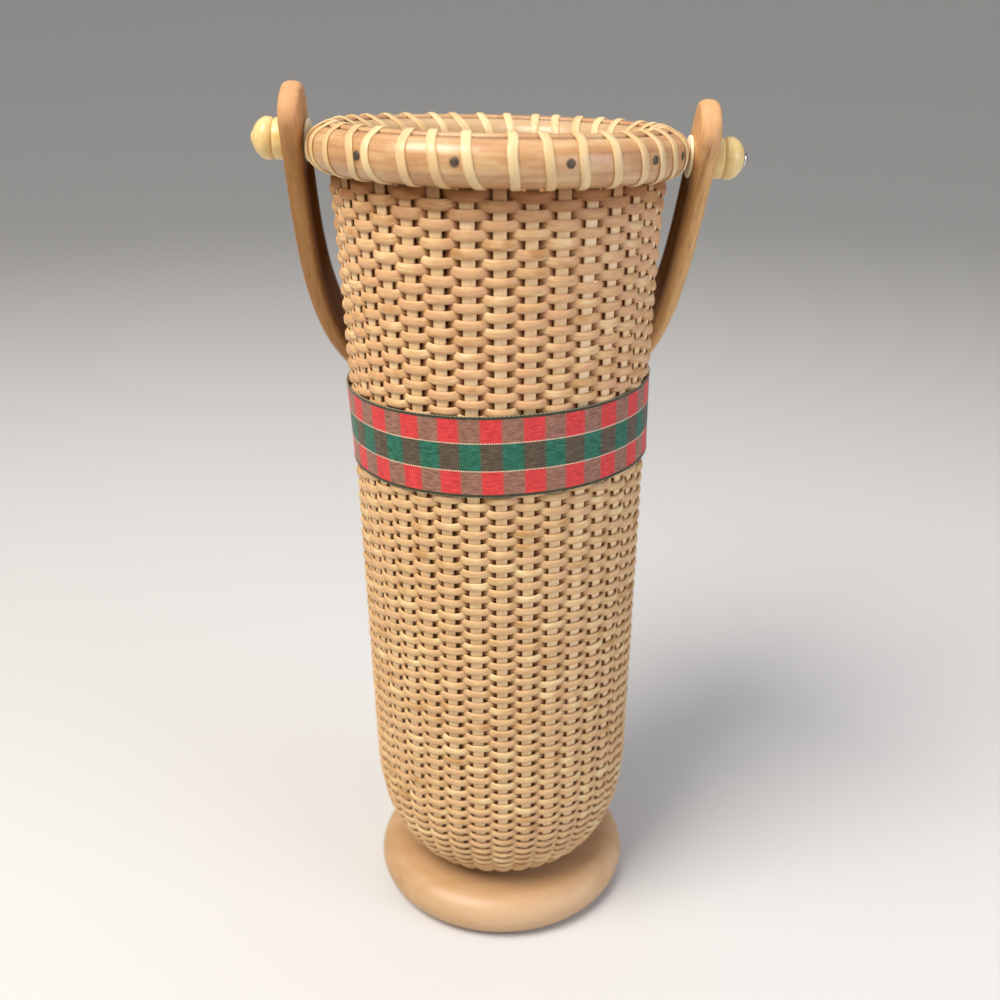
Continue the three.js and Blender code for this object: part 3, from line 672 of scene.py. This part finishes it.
paled = add(tree, "Mix", {SHARE: sapwood, FIRST: specked, SECOND: colour(HOOP_SAPWOOD)})
girthwise = add(tree, "SeparateXYZ", {0: add(tree, "UVMap", uv_map="along")}, used=1)
# Painted shade along the seam on top, where the strip meets the hoops.
off_seam = distance(tree, girthwise, SEAM_GIRTH)
seam_shaded = overlaid(tree, paled, off_seam, (SEAM_HALF + SEAM_SOFT) * MM, SEAM_HALF * MM, 0.85, SEAM_SHADE)
surface(tree, {
    "Base Color": seam_shaded, "Roughness": 0.4, "IOR": 1.5, "Specular IOR Level": 0.4, "Coat Weight": 0.4,
    "Coat Roughness": 0.22}, streaks, 0.15, depth=0.2)

# Each hoop is a D in section: a wide half on the round side and a thin, squarer half against the staves.
section_turn = np.linspace(0, 2 * np.pi, HOOP_AROUND, endpoint=False)
cosine = np.cos(section_turn)
reach = RIM_WIDTH / 2 - HOOP_INSET - SLOT_HALF - HOOP_CORNER
round_half = reach * signed_power(cosine, HOOP_ROUND_POWER)
flat_half = HOOP_CORNER * signed_power(cosine, HOOP_FLAT_POWER)
across = np.where(cosine > 0, round_half, flat_half)
up = (RIM_DEPTH / 2 - HOOP_INSET) * signed_power(np.sin(section_turn), HOOP_TALL_POWER)
for word, side in (("outer", 1), ("inner", -1)):
    flat = rim_centre + side * (SLOT_HALF + HOOP_CORNER)
    sapwood = np.full((HOOP_STEPS, HOOP_AROUND), INNER_SAPWOOD * (side < 0))
    hoop = rim_ring(f"{word}_hoop_bent", flat + side * across, up, HOOP_GIRTH,
                    INNER_GRAIN_START * (side < 0), sapwood=sapwood)
    dress(hoop, "basket", "rim_wood", hoop_wood, f"{word}_rim_hoop")

# Rim strip: a thin round-topped cane laid on the seam between the two hoops, over the stave ends. The
# lashing goes over it and holds it down.
STRIP_HALF_WIDTH = 2.0
STRIP_UNDER = 5.2
STRIP_CREST = 7.35
STRIP_AROUND = 20
STRIP_GIRTH = 10
STRIP_POWER = 2.3
STRIP_GRAIN_START = 900
middle, half_high = (STRIP_CREST + STRIP_UNDER) / 2, (STRIP_CREST - STRIP_UNDER) / 2
across, up = oval(STRIP_AROUND, STRIP_HALF_WIDTH, half_high, STRIP_POWER)
strip = rim_ring("rim_strip_cane", rim_centre + across, middle + up, STRIP_GIRTH, STRIP_GRAIN_START)
strip.data.materials.append(hoop_wood)
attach(strip, "basket")

# Rim lashing: one flat length of glossy binding cane, wound over both hoops and down between the
# staves, once at each gap. It leaves out one turn at the left pin, where its two ends are tucked in.
LASHING_WIDTH = 2.7
LASHING_THICKNESS = 0.7
LASHING_STEPS = 56
LASHING_AROUND = 12
LASHING_GIRTH = 6.5
LASHING_POWER = 2.8
LASHING_SUNK = 0.15
LASHING_CREST = 1.0
LASHING_CREST_REACH = 2.4
LASHING_CREAM, LASHING_GOLD, LASHING_LINE = "#E0C797", "#D4B07E", "#B88B53"
lashing_start = first_stave + stave_step / 2
lashing_turns = STAVE_COUNT - 1
first_gap = int(np.ceil((-np.pi / 2 - lashing_start) / stave_step))
# How far, in degrees, the turns in front lean off their even places, from the left to the right. The
# first of them is at this gap, counted from the front.
FIRST_LEAN_GAP = -7
FRONT_LEANS = (0.2, 2.0, 4.4, -0.2, 1.6, 0.5, -0.6, 0.9, 0.3, -0.3, 0, 0, -2.0, -4.2)
# How far the same turns lean where they cross the top.
TOP_LEANS = (1, 1, 1.5, 1.0, 2.5, 0.2, 0.2, 3.4, 2.3, 2.8, 2.6, 1.5, 1, 1)
# How much the turns out of sight lean, in degrees, and how much more they lean to one side on top.
LEAN_VARIES, TOP_LEAN, TOP_LEAN_VARIES = 0.9, 1.2, 0.8

turn = np.arange(lashing_turns * LASHING_STEPS + 1) / LASHING_STEPS
section_angle = -np.pi / 2 - 2 * np.pi * turn
gap = np.round(first_gap + turn + 0.25).astype(int)
lean_by_gap = rng.normal(0, LEAN_VARIES, lashing_turns + 3)
front = FIRST_LEAN_GAP - first_gap + 1
lean_by_gap[front:front + len(FRONT_LEANS)] = FRONT_LEANS
top_by_gap = rng.normal(TOP_LEAN, TOP_LEAN_VARIES, lashing_turns + 3)
top_by_gap[front:front + len(TOP_LEANS)] = TOP_LEANS
lean = np.radians(lean_by_gap[gap - first_gap + 1]) * np.clip(np.cos(section_angle), 0, 1) ** 2
lean += np.radians(top_by_gap[gap - first_gap + 1]) * np.clip(np.sin(section_angle), 0, 1) ** 2
bearing = lashing_start + (first_gap + turn) * stave_step + lean
inset = LASHING_THICKNESS / 2
from_seam = (RIM_WIDTH / 2 - LASHING_SUNK) * signed_power(np.cos(section_angle), RIM_POWER)
radius = rim_centre + from_seam
height = (RIM_DEPTH / 2 - LASHING_SUNK) * signed_power(np.sin(section_angle), RIM_POWER)
height += LASHING_CREST * np.exp(-(from_seam / LASHING_CREST_REACH) ** 2) * (height > 0)
path = at_bearing(bearing, radius, height)
out = at_bearing(bearing, np.cos(section_angle), np.sin(section_angle))
rings = on_rim(swept(path, out, LASHING_AROUND, inset, LASHING_WIDTH / 2, LASHING_POWER))
uv = strip_uv(length_along(path), LASHING_AROUND, LASHING_GIRTH)
lashing = skin("rim_lashing_cane", rings, uv=uv)

# Binding cane: the glossy skin of the vine, cream with fine straight lines 0.3 mm apart and a golden
# drift over 30 mm.
lashing_cane, tree = blank_finish("binding cane, glossy skin")
drift = grain(tree, (35, 60), 2)
tone = add(tree, "ValToRGB", {"Fac": drift}, [(0.35, LASHING_GOLD), (0.65, LASHING_CREAM)])
lines = grain(tree, (25, 3300), 2, 0.6)
lined = overlaid(tree, tone, lines, 0.5, 0.75, 0.28, LASHING_LINE)
surface(tree, {
    "Base Color": lined, "Roughness": 0.36, "IOR": 1.5, "Specular IOR Level": 0.4}, lines, 0.15)
dress(lashing, "basket", "lashing_cane", lashing_cane, "rim_lashing")

# Rim tacks: ten small round-headed tacks of darkened steel, driven through the outer hoop between
# turns of the lashing and hammered nearly flush.
TACK_COUNT = 10
TACK_HEAD_RADIUS = 1.3
TACK_HEAD_HEIGHT = 0.45
TACK_HEAD_UNDER = 0.1
TACK_SHANK_RADIUS = 0.55
TACK_SHANK_LENGTH, TACK_POINT_LENGTH = 3.6, 4.1
TACK_STEPS, TACK_DOME_STEPS = 20, 7
TACK_RISE = 0.5
# How far, in degrees, the tacks in front stand beside the middle of their gaps.
TACK_LEANS = (1.6, 1.3, 0.6, -0.2, -1.0, 0, 0, 0, 0, 0)
TACK_GREY, TACK_BROWN = "#4A4741", "#6E5A45"

# Darkened steel: brown rust film in spots of 0.6 mm on grey.
material, tree = blank_finish("darkened steel tack")
place = add(tree, "TexCoord")
spots = add(tree, "TexNoise", {"Vector": place, "Scale": 1700, "Detail": 2, "Roughness": 0.6})
tone = add(tree, "ValToRGB", {"Fac": spots}, [(0.4, TACK_GREY), (0.62, TACK_BROWN)])
surface(tree, {"Base Color": tone, "Metallic": 0.6, "Roughness": 0.5})

dome = np.linspace(0, np.pi / 2, TACK_DOME_STEPS)[:-1]
tack_profile = np.concatenate([
    [[TACK_SHANK_RADIUS, -TACK_SHANK_LENGTH], [TACK_SHANK_RADIUS, -TACK_HEAD_UNDER],
     [TACK_HEAD_RADIUS, -TACK_HEAD_UNDER]],
    np.stack([TACK_HEAD_RADIUS * np.cos(dome), TACK_HEAD_HEIGHT * np.sin(dome)], -1)])
hoop_face = rim_centre + RIM_WIDTH / 2 - HOOP_INSET
for k in range(TACK_COUNT):
    node = f"rim_tack_{k + 1:02d}"
    low, high = box_mm(node)
    level = ((low + high) / 2 - [0, 0, RIM_MIDDLE]) @ rim_turn
    tack_bearing = np.arctan2(level[0], -level[1]) + np.radians(TACK_LEANS[k])
    facing = np.array([np.sin(tack_bearing), -np.cos(tack_bearing), 0])
    origin = on_rim(facing * hoop_face + [0, 0, TACK_RISE])
    tack = turned(f"{node}_steel", tack_profile, TACK_STEPS, origin, rim_turn @ facing,
                  tips=(-TACK_POINT_LENGTH, TACK_HEAD_HEIGHT))
    dress(tack, "basket", "tack_metal", material, node)

# Ribbon: a woven check ribbon, 25 mm wide, pulled round the wall and sewn to itself behind, where its
# end laps 11 mm over its start. It lies on the outer rows and keeps a soft selvedge on both edges.
RIBBON_WIDTH = 25
RIBBON_THICKNESS = 0.35
RIBBON_MIDDLE = 182.8
RIBBON_TILT = np.radians(1.5)
RIBBON_LAP = 11
RIBBON_LAP_BEARING = np.radians(150)
RIBBON_STEPS = 420
RIBBON_ACROSS = 26
SELVEDGE_WIDTH, SELVEDGE_CORD = 0.95, 0.12
RIBBON_FIT = 0.08
LAP_LOOSE = 0.3
RIBBON_WAVER = 0.1
ribbon_turn = np.array(Matrix.Rotation(-RIBBON_TILT, 3, "Y"))
across = np.linspace(-RIBBON_WIDTH / 2, RIBBON_WIDTH / 2, RIBBON_ACROSS)
wall_under = np.interp(RIBBON_MIDDLE + across, wall_height, wall_radius)
lap_turn = RIBBON_LAP / wall_under.mean()
turn = np.linspace(0, 2 * np.pi + lap_turn, RIBBON_STEPS)
lapped = eased(np.clip((turn - 2 * np.pi + lap_turn) / lap_turn, 0, 1))
lift = RIBBON_FIT + (RIBBON_THICKNESS + LAP_LOOSE) * lapped
bearing = RIBBON_LAP_BEARING + turn
to_cord = (np.abs(across) - RIBBON_WIDTH / 2 + SELVEDGE_WIDTH) / SELVEDGE_WIDTH
edge_cord = SELVEDGE_CORD * np.clip(to_cord, 0, 1)
waver = RIBBON_WAVER * np.sin(7 * bearing) * np.sin(3 * bearing + 1)
inner = wall_under[None, :] + lift[:, None] - 0.5 * edge_cord
outer = wall_under[None, :] + lift[:, None] + RIBBON_THICKNESS + edge_cord
ring_radius = np.concatenate([outer, inner[:, ::-1]], 1)
ring_height = np.concatenate([across, across[::-1]])[None, :] + waver[:, None]
rings = at_bearing(bearing[:, None], ring_radius, ring_height) @ ribbon_turn.T + [0, 0, RIBBON_MIDDLE]
run = turn * (wall_under.mean() + RIBBON_FIT + RIBBON_THICKNESS)
ribbon_v = np.append(np.concatenate([across, across[::-1]]), across[0])
uv = np.stack(np.broadcast_arrays(run[:, None], ribbon_v[None, :]), -1)
ribbon = skin("check_ribbon", rings, uv=uv)

# Polyester ribbon woven in a twill: red and grey-brown checks in the two outer stripes, green and dark
# brown in the middle one, a pick of cream thread on each side of it and dark green selvedges with
# pale picots. The twill lines are 0.3 mm apart in the cloth and drawn 0.5 mm apart, so that they show.
CHECK_PITCH = 12.7
CHECK_START_BEARING = np.radians(-2.6)
STRIPE_HALF = 4.1
THREAD_SOFT, SELVEDGE_SOFT = 0.1, 0.15
STITCH_MIDDLE = 4.3
STITCH_HALF = 0.13
DASH_PITCH = 0.78
TWILL_PITCH = 0.5
RED, RED_DEEP = "#E84A48", "#AA2428"
GREY, GREY_PALE = "#5C3E33", "#B07E69"
GREEN, GREEN_LIGHT = "#093626", "#328068"
BROWN, BROWN_DEEP = "#2A221A", "#70604C"
SELVEDGE_GREEN, SELVEDGE_PALE, THREAD_CREAM = "#1D2012", "#474A35", "#D9CDAE"
PICOT_GREY = "#8A866E"
PICOT_PITCH, PICOT_DEPTH = 1.3, 0.16


def off_nearest(tree, value, pitch):
    """How far a value in metres is from the nearest multiple of a pitch in millimetres, in pitches."""
    counted = add(tree, "Math", {0: value, 1: pitch * MM}, operation="DIVIDE")
    return add(tree, "Math", {0: counted, 1: 0.5}, operation="PINGPONG")


material, tree = blank_finish("polyester check ribbon, twill")
along = add(tree, "UVMap", uv_map="along")
lengthwise = add(tree, "SeparateXYZ", {0: along}, used=0)
crosswise = add(tree, "SeparateXYZ", {0: along}, used=1)
from_middle = add(tree, "Math", {0: crosswise}, operation="ABSOLUTE")
red_middle = ((CHECK_START_BEARING - RIBBON_LAP_BEARING) % (2 * np.pi)) * run[-1] / turn[-1] * MM
counted = add(tree, "Math", {0: lengthwise, 1: red_middle}, operation="SUBTRACT")
grey_share = add(tree, "MapRange", {
    "Value": off_nearest(tree, counted, CHECK_PITCH), "From Min": 0.215, "From Max": 0.285})
middle_share = add(tree, "MapRange", {
    "Value": from_middle, "From Min": (STRIPE_HALF + THREAD_SOFT) * MM, "From Max": STRIPE_HALF * MM})
slope = add(tree, "Math", {0: lengthwise, 1: crosswise}, operation="SUBTRACT")
twill = off_nearest(tree, slope, TWILL_PITCH * 2 ** 0.5)
threads = grain(tree, (350, 1400), 2, 0.6)
uneven = add(tree, "Math", {0: threads, 1: 0.6}, operation="MULTIPLY")
uneven = add(tree, "Math", {0: uneven, 1: twill}, operation="ADD")
twill_share = add(tree, "MapRange", {
    "Value": uneven, "From Min": 0.44, "From Max": 0.66}, interpolation_type="SMOOTHSTEP")
red, grey, brown, green, selvedge = [
    add(tree, "Mix", {SHARE: twill_share, FIRST: colour(cloth), SECOND: colour(twill_line)})
    for cloth, twill_line in (
        (RED, RED_DEEP), (GREY, GREY_PALE), (BROWN, BROWN_DEEP), (GREEN, GREEN_LIGHT),
        (SELVEDGE_GREEN, SELVEDGE_PALE))]
outer_check = add(tree, "Mix", {SHARE: grey_share, FIRST: red, SECOND: grey})
middle_check = add(tree, "Mix", {SHARE: grey_share, FIRST: brown, SECOND: green})
checks = add(tree, "Mix", {SHARE: middle_share, FIRST: outer_check, SECOND: middle_check})
on_stitch = add(tree, "MapRange", {
    "Value": distance(tree, from_middle, STITCH_MIDDLE), "From Min": (STITCH_HALF + THREAD_SOFT) * MM,
    "From Max": STITCH_HALF * MM})
on_dash = add(tree, "MapRange", {
    "Value": off_nearest(tree, lengthwise, DASH_PITCH), "From Min": 0.36, "From Max": 0.26})
stitch_share = add(tree, "Math", {0: on_stitch, 1: on_dash}, operation="MULTIPLY")
stitched = add(tree, "Mix", {SHARE: stitch_share, FIRST: checks, SECOND: colour(THREAD_CREAM)})
edge = RIBBON_WIDTH / 2 - SELVEDGE_WIDTH
edge_share = add(tree, "MapRange", {
    "Value": from_middle, "From Min": edge * MM, "From Max": (edge + SELVEDGE_SOFT) * MM})
edged = add(tree, "Mix", {SHARE: edge_share, FIRST: stitched, SECOND: selvedge})
on_picot = add(tree, "MapRange", {
    "Value": off_nearest(tree, lengthwise, PICOT_PITCH), "From Min": 0.4, "From Max": 0.3})
at_edge = add(tree, "MapRange", {
    "Value": from_middle, "From Min": (RIBBON_WIDTH / 2 - PICOT_DEPTH) * MM,
    "From Max": (RIBBON_WIDTH / 2 - PICOT_DEPTH / 2) * MM})
picot_share = add(tree, "Math", {0: on_picot, 1: at_edge}, operation="MULTIPLY")
edged = add(tree, "Mix", {SHARE: picot_share, FIRST: edged, SECOND: colour(PICOT_GREY)})
surface(tree, {
    "Base Color": edged, "Roughness": 0.6, "IOR": 1.5, "Specular IOR Level": 0.3, "Sheen Weight": 0.1,
    "Sheen Roughness": 0.4}, uneven, 0.35)
dress(ribbon, "basket", "ribbon_cloth", material, "ribbon")

# Pivot pins, washers and knobs: on each side a metal pin goes through the rim, a thin bone washer, the
# handle and a turned bone knob. The left pin ends under a bone plug and the right one in a metal dome.
PIN_RADIUS = 1.6
PIN_INSIDE = 4.95
PIN_HEAD_RIM, PLUG_SUNK = 0.1, 0.2
KNOB_LENGTH = 9.4
KNOB_RADIUS = 6.3
DOME_LENGTH = 4.0
COLLAR_LENGTH = 2.9
COLLAR_RADIUS = 6.1
NECK_RADIUS = 5.55
BORE_RADIUS = 1.9
KNOB_STEPS, DOME_POINTS, HEAD_STEPS = 72, 20, 9
DOME_END_RADIUS = 2.1
PLUG_RADIUS, PLUG_HEIGHT = 2.0, 0.7
HEAD_RADIUS, HEAD_HEIGHT = 2.6, 1.3
DOME_POWER = 1.6
BONE_IVORY, BONE_YELLOW, BONE_TAN = "#E8CF96", "#E0C280", "#D3AA69"
# A paler bone for the washers: painted light against the shade they sit in.
BONE_PAINTED_LIGHT = "#F4EAC8"
BONE_GLOW = {
    "IOR": 1.54, "Subsurface Weight": 0.15, "Subsurface Radius": (0.0015, 0.001, 0.0006),
    "Subsurface Scale": 1}
STEEL_PALE, STEEL_GREY = "#D9D6CE", "#A8A59D"
pivot_axis = np.array(frame["joints"][0]["axis"], float)
pivot_axis /= np.linalg.norm(pivot_axis)
# The pins and the handle have a little play along the axis, and have settled to the right.
PIVOT_PLAY = 0.5
pivot_middle = np.array(frame["joints"][0]["pos_m"], float) / MM

# Bone, turned and polished: ivory yellow with long soft rings 2.4 mm apart, and marrow flecks 0.4 mm
# wide. Light goes a little way into it.
bone, tree = blank_finish("turned bone, polished")
soft_rings = grain(tree, (90, 420, 420), 3, 0.55, distortion=0.4)
tone = add(tree, "ValToRGB", {"Fac": soft_rings}, [
    (0.15, BONE_TAN), (0.8, BONE_IVORY), (0.45, BONE_YELLOW)])
flecks = grain(tree, (500, 2400, 2400), 1)
flecked = overlaid(tree, tone, flecks, 0.62, 0.74, 0.2, BONE_TAN)
surface(tree, {"Base Color": flecked, "Roughness": 0.3, **BONE_GLOW}, flecks, 0.05)

# The same bone, left thin for the washers and painted paler, as painted light against the shade they sit
# in, with flecks 0.4 mm wide.
paler_washer_bone, tree = blank_finish("sawn bone washer, painted paler")
flecks = grain(tree, (500, 2400, 2400), 1)
tone = add(tree, "ValToRGB", {"Fac": flecks}, [(0.5, BONE_PAINTED_LIGHT), (0.8, BONE_IVORY)])
surface(tree, {"Base Color": tone, "Roughness": 0.4, **BONE_GLOW})

# Nickel plated steel: bright, with faint wear in spots of 0.7 mm.
steel = worn_metal("nickel plated pin", 1400, STEEL_GREY, STEEL_PALE, 0.3, 0.16)

HANDLE_THICKNESS = 6.2
WASHER_THICKNESS = 1
WASHER_RADIUS = 6.2
# The washers are drawn up on the lashing, and the handle turns stiffly between washer and knob.
FIT_GAP = 0.1
washer_from = rim_centre + RIM_WIDTH / 2 - FIT_GAP
handle_from = washer_from + WASHER_THICKNESS + FIT_GAP
knob_from = handle_from + HANDLE_THICKNESS + FIT_GAP
collar_to = knob_from + COLLAR_LENGTH
knob_to = knob_from + KNOB_LENGTH
pin_from = rim_centre - PIN_INSIDE
turn = np.linspace(0, np.pi / 2, DOME_POINTS)
dome_reach = KNOB_RADIUS - DOME_END_RADIUS
knob_dome = np.stack([
    DOME_END_RADIUS + dome_reach * signed_power(np.cos(turn), DOME_POWER),
    knob_to - DOME_LENGTH * (1 - signed_power(np.sin(turn), DOME_POWER))], -1)
# The knob's outline: a collar with rounded edges, a fine groove, the neck, the swell and the dome.
collar_start = np.array([
    [BORE_RADIUS, 0], [COLLAR_RADIUS - 0.3, 0], [COLLAR_RADIUS - 0.08, 0.1],
    [COLLAR_RADIUS, 0.35]]) + [0, knob_from]
neck = np.array([
    [COLLAR_RADIUS, -0.45], [COLLAR_RADIUS - 0.08, -0.15], [COLLAR_RADIUS - 0.3, 0],
    [NECK_RADIUS, 0.15], [NECK_RADIUS, 0.4], [NECK_RADIUS + 0.25, 0.5], [NECK_RADIUS + 0.5, 0.85],
    [NECK_RADIUS + 0.68, 1.5]]) + [0, collar_to]
knob_profile = np.concatenate([collar_start, neck, knob_dome, [[BORE_RADIUS, knob_to]]])
washer_profile = np.array([
    [BORE_RADIUS, 0], [WASHER_RADIUS - 0.3, 0], [WASHER_RADIUS - 0.06, 0.12], [WASHER_RADIUS, 0.35],
    [WASHER_RADIUS, 0.65], [WASHER_RADIUS - 0.06, 0.88], [WASHER_RADIUS - 0.3, WASHER_THICKNESS],
    [BORE_RADIUS, WASHER_THICKNESS]]) + [0, washer_from]
origin = pivot_middle + PIVOT_PLAY * pivot_axis
turn = np.linspace(0, np.pi / 2, HEAD_STEPS)[:-1]
for word, side in (("right", 1), ("left", -1)):
    axis = side * pivot_axis
    washer = turned(f"bone_washer_{word}", washer_profile, KNOB_STEPS, origin, axis, joined=True)
    dress(washer, "basket", "bone", paler_washer_bone, f"washer_{word}")
    knob = turned(f"bone_knob_{word}", knob_profile, KNOB_STEPS, origin, axis, joined=True)
    dress(knob, "basket", "bone", bone, f"knob_{word}")
    head_radius, head_height = (HEAD_RADIUS, HEAD_HEIGHT) if side > 0 else (PLUG_RADIUS, PLUG_HEIGHT)
    head_from = knob_to + PIN_HEAD_RIM
    head = [[head_radius * np.cos(a), head_from + head_height * np.sin(a)] for a in turn]
    rod, end = [[PIN_RADIUS, pin_from], [PIN_RADIUS, knob_to]], knob_to
    if side > 0:
        rod, end = rod + [[head_radius, knob_to]] + head, head_from + head_height
    pin = turned(f"pivot_pin_{word}_steel", rod, KNOB_STEPS // 2, origin, axis, tips=(pin_from, end))
    dress(pin, "basket", "brass", steel, f"pivot_pin_{word}")
    if side < 0:
        plug_profile = [[head_radius, knob_to - PLUG_SUNK]] + head
        plug = turned("pin_plug_bone", plug_profile, KNOB_STEPS // 2, origin, axis,
                      tips=(knob_to - PLUG_SUNK, head_from + head_height))
        dress(plug, "basket", "bone", bone, f"pivot_pin_{word}")

# Handle: one strip of ash, planed, rounded on its edges and steam bent to a squarish U. Its round tips
# stand above the pins, and it lies tipped back against nothing, held by the grip of the washers.
HANDLE_WIDTH = 18.5
HANDLE_DROP = 105.6
HANDLE_POWER = 3.68
HANDLE_TIP = 17.3
TIP_LENGTH = 7.0
TIP_POWER = 2.3
TIP_BLUNT = 0.985
ARM_STEPS = 6
# A height inside the bend, from which its outer side is told.
BEND_MIDDLE = -40
EDGE_ROUND = 2.4
EDGE_POWER = 2.3
HANDLE_REST = np.radians(33.5)
HANDLE_STEPS = 220
HANDLE_TIP_STEPS = 30
HANDLE_AROUND = 44
HANDLE_GIRTH = 46
# The painted shade inside the bend: how it grows round the section, where it ends below the pins,
# how far it takes to fade there, and how much paler it is from which depth on.
INSIDE_GROWTH, INSIDE_START = 1.4, 0.15
INSIDE_END, INSIDE_FADE = -8, 14
INSIDE_PALER, INSIDE_PALER_FROM, INSIDE_PALER_REACH = 0.3, 50, 40
# The rubbed tips begin this far above the pins, and the heartwood grows over this way across.
TIP_FROM, TIP_REACH = 3, 10
HEART_REACH = 40
ASH_GOLD, ASH_TAN, ASH_BROWN, ASH_DARK = "#DFBC84", "#D0A269", "#AF814B", "#50280F"
ASH_TIP, ASH_HEART = "#CF9D72", "#965F28"
half_span = handle_from + HANDLE_THICKNESS / 2
turn = np.linspace(0, np.pi, HANDLE_STEPS)
bend_x = half_span * signed_power(np.cos(turn), HANDLE_POWER)
bend_z = -HANDLE_DROP * signed_power(np.sin(turn), HANDLE_POWER)
# A tip is a rounded square seen from the side: reach runs from 0, where it begins, to 1 at its end.
reach = np.sin(np.linspace(np.pi / 2 * TIP_BLUNT, 0, HANDLE_TIP_STEPS))
arm_z = np.linspace(HANDLE_TIP - TIP_LENGTH, 0, ARM_STEPS + 2)[1:-1]
tip_z = np.append(HANDLE_TIP - TIP_LENGTH * (1 - reach), arm_z)
reach = np.append(reach, np.zeros(ARM_STEPS))
path_x = np.concatenate([half_span + 0 * tip_z, bend_x, -half_span + 0 * tip_z])
path_z = np.concatenate([tip_z, bend_z, tip_z[::-1]])
reach = np.concatenate([reach, np.zeros(HANDLE_STEPS), reach[::-1]])
path = np.stack([path_x, 0 * path_x, path_z], -1)
run = length_along(path)
even = np.linspace(0, run[-1], 4 * HANDLE_STEPS)
even = even[(even > run[HANDLE_TIP_STEPS - 1]) & (even < run[-HANDLE_TIP_STEPS])][::3]
keep = np.unique(np.concatenate([run[:HANDLE_TIP_STEPS], even, run[-HANDLE_TIP_STEPS:]]))
path = np.stack([np.interp(keep, run, path[:, i]) for i in range(3)], -1)
reach = np.interp(keep, run, reach)[:, None]
along = np.gradient(path, axis=0)
along /= np.linalg.norm(along, axis=1, keepdims=True)
out = np.stack([-along[:, 2], 0 * along[:, 0], along[:, 0]], -1)
out *= np.sign((out * (path - [0, 0, BEND_MIDDLE])).sum(1))[:, None]
turn = (np.arange(HANDLE_AROUND) + 0.5) * 2 * np.pi / HANDLE_AROUND
# The strip is planed to one thickness and rounded off alike all along its edge and round its tips.
narrow = (1 - reach ** TIP_POWER) ** (1 / TIP_POWER)
wide = narrow * np.sin(turn)
to_middle = (np.abs(wide) ** TIP_POWER + reach ** TIP_POWER) ** (1 / TIP_POWER)
from_edge = (1 - to_middle) * HANDLE_WIDTH / 2
rounded = (1 - np.clip(1 - from_edge / EDGE_ROUND, 0, 1) ** EDGE_POWER) ** (1 / EDGE_POWER)
thick = np.sign(np.cos(turn)) * rounded * HANDLE_THICKNESS / 2
wide = wide * HANDLE_WIDTH / 2
rings = path[:, None] + thick[..., None] * out[:, None] + wide[..., None] * np.array([0, 1, 0])
axis_turn = Matrix.Rotation(np.arcsin(-pivot_axis[2]), 3, "Y")
swing_turn = np.array(axis_turn @ Matrix.Rotation(HANDLE_REST, 3, "X"))
rings = rings @ swing_turn.T + pivot_middle + PIVOT_PLAY * pivot_axis
sideways, above = path[:, :1], path[:, 2:]
# Painted shade on the inside of the bend.
inside = np.clip(-np.cos(turn)[None, :] * INSIDE_GROWTH - INSIDE_START, 0, 1)
inside = inside * (1 - np.clip((above - INSIDE_END) / INSIDE_FADE, 0, 1))
inside *= 1 - INSIDE_PALER * np.clip((-above - INSIDE_PALER_FROM) / INSIDE_PALER_REACH, 0, 1)
tip = np.clip((above - TIP_FROM) / TIP_REACH, 0, 1) + 0 * inside
heart = np.clip(0.5 - sideways / HEART_REACH, 0, 1) + 0 * inside
uv = strip_uv(keep, HANDLE_AROUND, HANDLE_GIRTH)
handle = skin("handle_bent_ash", rings, uv=uv, inside=inside, tip=tip, heart=heart)

# Ash under worn satin varnish: golden brown with open pores 6 mm long and 0.3 mm wide, soft bands
# 4 mm wide, painted shade that makes it darker and dull inside the bend, and paler and pinker where
# hands have rubbed the tips.
# The strip is pale sapwood at its right end and brown heartwood at its left end.
material, tree = blank_finish("steam bent ash, satin varnish")
bands = grain(tree, (12, 260), 4, 0.6)
tone = add(tree, "ValToRGB", {"Fac": bands}, [(0.3, ASH_BROWN), (0.7, ASH_GOLD), (0.5, ASH_TAN)])
for name, most, code in (("heart", 0.5, ASH_HEART), ("tip", 0.7, ASH_TIP), ("inside", 0.8, ASH_DARK)):
    mark = add(tree, "Attribute", attribute_name=name)
    share = add(tree, "Math", {0: mark, 1: most}, operation="MULTIPLY")
    tone = add(tree, "Mix", {SHARE: share, FIRST: tone, SECOND: colour(code)})
pores = grain(tree, (170, 3200), 2, 0.6)
pored = overlaid(tree, tone, pores, 0.56, 0.7, 0.4, ASH_DARK)
# The painted shade inside the bend also takes the gloss away there.
gloss = add(tree, "MapRange", {"Value": mark, "To Min": 0.2, "To Max": 0})
surface(tree, {
    "Base Color": pored, "Roughness": 0.55, "IOR": 1.5,
    "Specular IOR Level": gloss}, pores, 0.3, invert=True)
dress(handle, "handle", "handle_wood", material, "handle")
